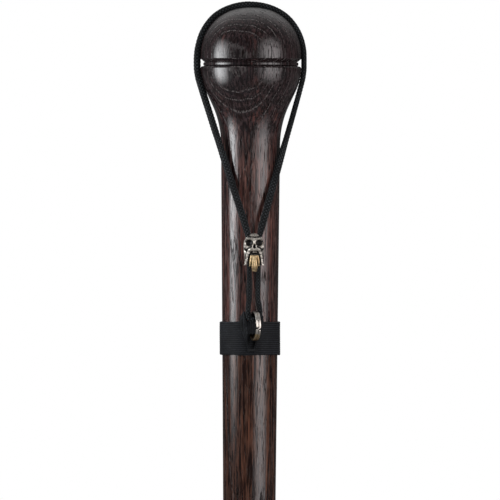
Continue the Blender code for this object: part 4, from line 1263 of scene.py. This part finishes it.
def make_cord(braid):
    """The flat braid, which lies on the knob, turns its flat side to the front and squeezes into the bead."""
    line, walked = smooth_route(cord_route(), CORD_STEP)
    along = unit(np.gradient(line, axis=0))
    drop = CANE_HEIGHT - line[:, 2]
    from_knob = line - np.array([0.0, 0.0, KNOB_CENTRE])
    from_knob[:, 2] = np.maximum(from_knob[:, 2], 0.0)
    from_knob = unit(from_knob)
    rounded = 1.0 - ease(drop, *ROUNDED_DROPS)
    fuller = dome_reach(np.arcsin(from_knob[:, 2])) - KNOB_RADIUS
    line = line + from_knob * (fuller * SEAT_SHARE - ROUNDED_SUNK * rounded)[:, None]
    line[:, 0] += ROUNDED_SIDEWAYS * rounded
    on_left = line[:, 0] < 0.0
    left_inward = np.interp(drop, STRAND_DROPS, LEFT_INWARD)
    right_inward = np.interp(drop, STRAND_DROPS, RIGHT_INWARD)
    line[:, 0] += np.where(on_left, left_inward, -right_inward) * MM
    facing = ease(drop, *TWIST_DROPS)[:, None]
    out = from_knob * (1.0 - facing) + np.array([0.0, -1.0, 0.0]) * facing
    out = unit(out - along * (out * along).sum(1)[:, None])
    side = np.cross(along, out)
    squeeze = ease(drop, *SQUEEZE_DROPS)
    half_width = between(CORD_HALF_WIDTH, SQUEEZED_HALF_WIDTH, squeeze) + ROUNDED_WIDTH * rounded
    half_thickness = between(CORD_HALF_THICKNESS, SQUEEZED_HALF_THICKNESS, squeeze)
    swell = np.where(on_left, np.interp(drop, STRAND_DROPS, LEFT_SWELL), 0.0) * MM
    half_thickness += ROUNDED_THICKNESS * rounded + swell
    end = np.minimum(walked, walked[-1] - walked) / CORD_END
    tuck = rim(1.0 - np.clip(end, 0.0, 1.0), 2, CORD_END_LEAST)[:, None]
    turn = np.arange(CORD_SIDES) * math.tau / CORD_SIDES
    around = turn[None, :] / math.tau * BRAID_CELLS / 2
    relief = braid_height(around, walked[:, None] / BRAID_PITCH / 2)
    sunk = (relief - 1.0) * BRAID_RELIEF
    points = line[:, None]
    for direction, half, wave in ((side, half_width, np.cos(turn)), (out, half_thickness, np.sin(turn))):
        oval = np.sign(wave) * np.abs(wave) ** CORD_OVAL
        points = points + direction[:, None] * (oval * (half[:, None] + sunk) * tuck)[..., None]
    mesh = grid_mesh("braided_cord", turned_to_strap(points), crown=relief)
    cord = piece("braided_cord", mesh, braid, "strap", "braided_cord", "wrist_cord", "cord_hitch")
    return cord, turned_to_strap(line)[::PATH_STRIDE], float(walked[-1])


def skull_body(height):
    """The skull's plain round form: a dome over sides that draw in towards the foot."""
    brow = SKULL_HEIGHT * BROW_SHARE
    crown = np.clip((height - brow) / (SKULL_HEIGHT - brow), 0.0, 1.0)
    sides = between(BORE_HALF_WIDTH + SKULL_FOOT_WALL, SKULL_HALF_WIDTH, ease(height, 0.0, brow))
    return np.where(height > brow, SKULL_HALF_WIDTH * rim(crown, CROWN_FULLNESS), sides)


def along_moustache(side, height):
    """How far a point of the skull lies to the side of the moustache's line, and how far along it."""
    across, up = np.broadcast_arrays(side * SKULL_HALF_WIDTH, height)
    off = np.full(across.shape, np.inf)
    along = np.zeros(across.shape)
    walked = 0.0
    stops = [(form[0] * SKULL_HALF_WIDTH, form[1] * SKULL_HEIGHT) for form in SKULL_FORMS[MOUSTACHE]]
    for start, end in zip(stops, stops[1:]):
        step = (end[0] - start[0], end[1] - start[1])
        length = math.hypot(*step)
        beside = (across - start[0], up - start[1])
        share = np.clip((beside[0] * step[0] + beside[1] * step[1]) / length**2, 0.0, 1.0)
        gap = np.hypot(beside[0] - share * step[0], beside[1] - share * step[1])
        gap = np.copysign(gap, beside[0] * step[1] - beside[1] * step[0])
        nearer = np.abs(gap) < np.abs(off)
        off = np.where(nearer, gap, off)
        along = np.where(nearer, walked + share * length, along)
        walked += length
    return off, along


def skull_relief(angle, height):
    """How far the forms of the face raise the skull, as a share of its half width."""
    angle = angle + FACE_TURN
    side = np.abs(angle)
    share = height / SKULL_HEIGHT
    raised = np.zeros(np.broadcast(angle, height).shape)
    for at_angle, at_height, half_angle, half_height, rise, steepness in SKULL_FORMS:
        off = np.hypot((side - at_angle) / half_angle, (share - at_height) / half_height)
        raised += rise * bell(off, 0.0, 1.0, steepness)

    # The moustache's strands, which are plaited from where it turns down
    off, along = along_moustache(side, height)
    plaited = ease(along, MOUSTACHE_PLAIT_START, MOUSTACHE_PLAIT_START + MOUSTACHE_KNOT)
    strands = ripple((off + STRAND_SLANT * along * plaited) / MOUSTACHE_STRAND * math.tau)
    knots = ripple((along + KNOT_SLANT * off) / MOUSTACHE_KNOT * math.tau)
    carved = STRAND_DEPTH * strands * (1.0 - 0.5 * plaited) + KNOT_DEPTH * plaited * knots**2
    raised -= bell(off, 0.0, MOUSTACHE_HALF_WIDTH, 4) * carved

    # The upper teeth in the mouth's dark slit
    mouth = bell(side, 0.0, MOUTH_HALF_ANGLE, 4) * bell(share, MOUTH_SHARE, MOUTH_HALF_SHARE, 4)
    tooth = np.abs((angle / TEETH_ANGLE * TEETH / 2) % 1.0 - 0.5) * 2.0
    above, below = [ease(share, edge - TEETH_EDGE, edge + TEETH_EDGE) for edge in TEETH_SHARES]
    row = above * (1.0 - below) * (1.0 - ease(side, TEETH_ANGLE * TEETH_FADE, TEETH_ANGLE))
    raised += mouth * (TOOTH_RISE * row * (1.0 - 0.5 * tooth**6) - MOUTH_DEPTH)

    # The sutures: one runs back over the crown, and one winds across it
    sagittal = bell(angle, waves(share, SAGITTAL_WAVES), SAGITTAL_HALF_ANGLE)
    raised -= SAGITTAL_DEPTH * sagittal * ease(share, *SAGITTAL_SHARES)
    coronal = bell(share, CORONAL_SHARE + waves(side, CORONAL_WAVES), CORONAL_HALF_SHARE)
    raised -= CORONAL_DEPTH * coronal * (1.0 - ease(side, *CORONAL_ANGLES))
    return raised * (1.0 - ease(side, *FACE_ANGLES))


def bore_reach(angle, height):
    """How far the oval bore reaches from its axis in one direction."""
    flare = BORE_MOUTH_FLARE * ease(height, SKULL_HEIGHT - BORE_MOUTH_DEPTH, SKULL_HEIGHT)
    straight = BORE_HALF_WIDTH + flare - BORE_HALF_DEPTH
    sideways, forward = np.abs(np.sin(angle)), np.abs(np.cos(angle))
    on_flat = BORE_HALF_DEPTH / np.maximum(forward, 1e-6)
    root = np.maximum(BORE_HALF_DEPTH**2 - (straight * forward) ** 2, 0.0)
    on_round = straight * sideways + np.sqrt(root)
    return np.where(on_flat * sideways <= straight, on_flat, on_round)


def jaw_angle(height):
    """The half angle that the jaw takes up at a height: it widens downwards."""
    return between(JAW_FOOT_ANGLE, JAW_TOP_ANGLE, np.clip(height / JAW_TOP, 0.0, 1.0))


def skull_reach(angle, height):
    """How far the skull reaches from its bore's axis. The jaw's seat is cut back into its front."""
    reach = skull_body(height) + skull_relief(angle, height) * SKULL_HALF_WIDTH
    reach = reach * (1.0 - SKULL_NARROWING * np.sin(angle) ** 2)
    inside = (np.abs(angle) <= jaw_angle(height) + JAW_SEAT_MARGIN) & (height <= JAW_TOP + GAP)
    return np.where(inside, np.minimum(reach, JAW_SEAT), reach)


def on_bead(angle, reach, height):
    """Points of the bead as they stand on the cane, from angles off the front, reaches and heights."""
    forward = -reach * np.cos(angle) - STRAND_FORWARD
    return turned_to_strap(np.stack([reach * np.sin(angle), forward, height + SKULL_FOOT], -1))


def hollowness(reach):
    """How far each point lies below its surroundings, from about 0 to 1."""
    soft = reach.copy()
    for _ in range(HOLLOW_ROUNDS):
        soft[:, 1:-1] = (soft[:, :-2] + soft[:, 2:]) / 2
        soft = (np.roll(soft, 1, 0) + np.roll(soft, -1, 0)) / 2
    return np.clip((soft - reach) / HOLLOW_DEPTH + HOLLOW_LEAST, 0.0, 1.0)


def make_skull(silver):
    """Each column of points runs up the outside to the bore's mouth and back down the bore."""
    angle = (np.arange(SKULL_COLUMNS) / SKULL_COLUMNS * math.tau - math.pi)[:, None]
    levels = np.linspace(0.0, SKULL_HEIGHT, SKULL_LEVELS)[None, :]
    open_above = skull_reach(angle, levels) > bore_reach(angle, levels) + BORE_LEAST_WALL
    closed = np.argmin(open_above, axis=1)
    mouth = np.where(open_above.all(1), levels[0, -1], levels[0, np.maximum(closed - 1, 0)])[:, None]
    share = np.linspace(0.0, 1.0, SKULL_ROWS)[None, :]
    height = mouth * (share + SKULL_CROWDING * np.sin(share * math.pi) / math.pi)
    reach = skull_reach(angle, height)
    carved = np.clip(-skull_relief(angle, height) * HOLLOW_OF_RELIEF, 0.0, 1.0)
    hollow = np.maximum(hollowness(reach), carved)
    hollow = hollow + CROWN_PATINA * ease(height / SKULL_HEIGHT, *CROWN_PATINA_SHARES)
    # Painted shade: a dark band along both sides of the moustache, placed by position rather than carved
    side = np.abs(angle + FACE_TURN)
    beside = bell(np.abs(along_moustache(side, height)[0]), PAINTED_SHADE_OFFSET, PAINTED_SHADE_HALF_WIDTH)
    beside = beside * ease(side, *PAINTED_SHADE_ANGLES) * (1.0 - ease(side, *FACE_ANGLES))
    hollow = np.maximum(hollow, MOUSTACHE_PAINTED_SHADE * beside)
    down = mouth * np.linspace(1.0, 0.0, BORE_ROWS)[None, :]
    bore = bore_reach(angle, down)
    points = np.concatenate([on_bead(angle, reach, height), on_bead(angle, bore, down)], 1).transpose(1, 0, 2)
    hollow = np.concatenate([hollow, np.ones_like(bore)], 1).T
    mesh = grid_mesh("cast_skull", points, ends="joined", sharp_angle=CAST_SHARP_ANGLE, hollow=hollow)
    return piece("cast_skull", mesh, silver, "bead", "silver_tone", "bead_skull")


def make_jaw(brass):
    """The jaw, all beard: a long tuft in the middle, a short one on either side, and their strands."""
    across, up = np.linspace(-1.0, 1.0, BEARD_COLUMNS + 1), np.linspace(0.0, 1.0, BEARD_ROWS)
    across, up = np.meshgrid(across, up, indexing="ij")
    spread = np.abs(across)
    ragged = np.abs(waves(across, BEARD_RAGGED))
    drop = between(JAW_DROP, JAW_SIDE_DROP, ease(spread, *JAW_TUFT_SHARES)) - ragged
    height = between(-drop, JAW_TOP, up)
    angle = across * jaw_angle(height)
    chin = JAW_CHIN * np.cos(across * math.pi / 2) * np.sin(up * math.pi)
    undercut = JAW_UNDERCUT * (1.0 - ease(up, 0.0, JAW_UNDERCUT_SHARE))
    reach = SKULL_HALF_WIDTH - JAW_SET_BACK - JAW_CHIN + chin - undercut
    curl = BEARD_CURL * np.sin(up * BEARD_CURL_UP + across * BEARD_CURL_ACROSS)
    strands = ripple(across * BEARD_STRANDS + curl)
    reach = reach + (BEARD_RIDGE - BEARD_FURROW * strands**2) * between(1.0, BEARD_TOP_SHARE, up)
    parting = bell(spread, sum(JAW_TUFT_SHARES) / 2, BEARD_PARTING_HALF_WIDTH)
    reach = reach - BEARD_PARTING * parting * (1.0 - ease(up, *BEARD_PARTING_SHARES))
    lip = bell(up, JAW_LIP_SHARE, JAW_LIP_HALF_SHARE) * (1.0 - ease(spread, *JAW_LIP_COLUMNS))
    inner = JAW_SEAT + GAP
    side = np.maximum(rim(spread, JAW_SIDE_FULLNESS), JAW_SIDE_LEAST)
    reach = inner + np.maximum((reach + JAW_LIP * lip - inner) * side, JAW_LEAST_WALL)
    hollow = hollowness(reach)
    points = folded(on_bead(angle, reach, height), on_bead(angle, inner, height))
    hollow = folded(hollow, np.ones_like(hollow))
    mesh = grid_mesh("cast_jaw", points, sharp_angle=CAST_SHARP_ANGLE, hollow=hollow)
    return piece("cast_jaw", mesh, brass, "bead", "brass_tone", "bead_jaw")


def make_camera():
    """A far camera level with the middle of the stretch that the photograph shows."""
    camera = bpy.data.cameras.new("camera")
    camera.sensor_width = SENSOR_WIDTH
    camera.lens = SENSOR_WIDTH * CAMERA_DISTANCE / VIEW_HEIGHT
    camera.clip_end = CAMERA_REACH
    made = bpy.data.objects.new("camera", camera)
    made.location = Vector(CAMERA_TARGET) + Vector((0.0, -CAMERA_DISTANCE, 0.0))
    turn = Matrix.Rotation(math.pi / 2, 3, "X") @ Matrix.Rotation(CAMERA_ROLL, 3, "Z")
    made.rotation_euler = turn.to_euler()
    bpy.context.scene.collection.objects.link(made)
    bpy.context.scene.camera = made


def make_softbox(name, azimuth, distance, height, size, power, colour, fades):
    """A rectangular lamp whose light falls off towards its edges."""
    lamp = bpy.data.lights.new(name, "AREA")
    lamp.shape = "RECTANGLE"
    lamp.size, lamp.size_y = size
    lamp.energy = power
    lamp.color = colour
    lamp.use_nodes = True
    n = Nodes(lamp.node_tree)
    across, up, _ = n.split(n.add("ShaderNodeNewGeometry", "Parametric"))
    left, right, foot, top = fades
    glow = n.band(across, 0.0, left, 1.0 - right, 1.0) * n.band(up, 0.0, foot, 1.0 - top, 1.0)
    n.feed(n.tree.nodes["Emission"].inputs["Strength"], glow)
    made = bpy.data.objects.new(name, lamp)
    towards = Vector((math.sin(azimuth), -math.cos(azimuth), 0.0))
    made.location = Vector((0.0, 0.0, height)) + towards * distance
    made.rotation_euler = towards.to_track_quat("Z", "Y").to_euler()
    made.visible_camera = False
    bpy.context.scene.collection.objects.link(made)


def make_world():
    """White to the camera and through glass. Gloss shows room and sweep, and matt surfaces a plain level."""
    world = bpy.data.worlds.new("studio")
    world.use_nodes = True
    n = Nodes(world.node_tree)
    x, y, z = n.split(n.add("ShaderNodeTexCoord", "Generated"))
    off = n.math("ARCTAN2", z, y) - SWEEP_HEIGHT
    off = off / n.step(off, -SWEEP_EDGE, SWEEP_EDGE, SWEEP_SPREAD_BELOW, SWEEP_SPREAD_ABOVE)
    middle = n.math("SUBTRACT", 1.0, x * x, clamp=True)
    near = n.math("EXPONENT", off * off * -1.0) * n.math("POWER", middle, SWEEP_SIDES)
    level = n.ray("Glossy") * (near * SWEEP_LEVEL + ROOM_LEVEL) + (n.ray("Camera") + n.ray("Transmission"))
    background = n.tree.nodes["Background"]
    n.feed(background.inputs["Color"], (1.0, 1.0, 1.0))
    n.feed(background.inputs["Strength"], n.ray("Diffuse") * AMBIENT_LEVEL + level)
    bpy.context.scene.world = world
    bpy.context.scene.view_settings.view_transform = "Standard"


def make_floor():
    """A wide floor just under the tip."""
    bm = bmesh.new()
    bmesh.ops.create_grid(bm, x_segments=1, y_segments=1, size=FLOOR_HALF_SIZE)
    bmesh.ops.translate(bm, verts=bm.verts, vec=(0.0, 0.0, -FLOOR_DROP))
    mesh = finished("floor", bm)
    mesh.materials.append(floor_material())
    floor = bpy.data.objects.new("floor", mesh)
    bpy.context.scene.collection.objects.link(floor)


def main():
    """Builds the studio, then the pieces."""
    make_camera()
    make_world()
    for name, settings in SOFTBOXES.items():
        make_softbox(name, **settings)
    make_floor()
    cord, path, length = make_cord(yarn_material("braided_cord"))

    make_wood()
    make_ferrule(rubber_material())
    steel = steel_material()
    for node in ("joint_stud", "ferrule_washer"):
        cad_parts[node].data.materials.clear()
        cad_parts[node].data.materials.append(steel)
    fabric = yarn_material("webbing")
    thread = yarn_material("thread")
    make_band(fabric)
    make_lap_seam(thread)
    make_loop(fabric)
    make_tacks(thread)
    make_ring(plating_material())
    skull = make_skull(cast_material("silver_tone"))
    jaw = make_jaw(cast_material("brass_tone"))


main()
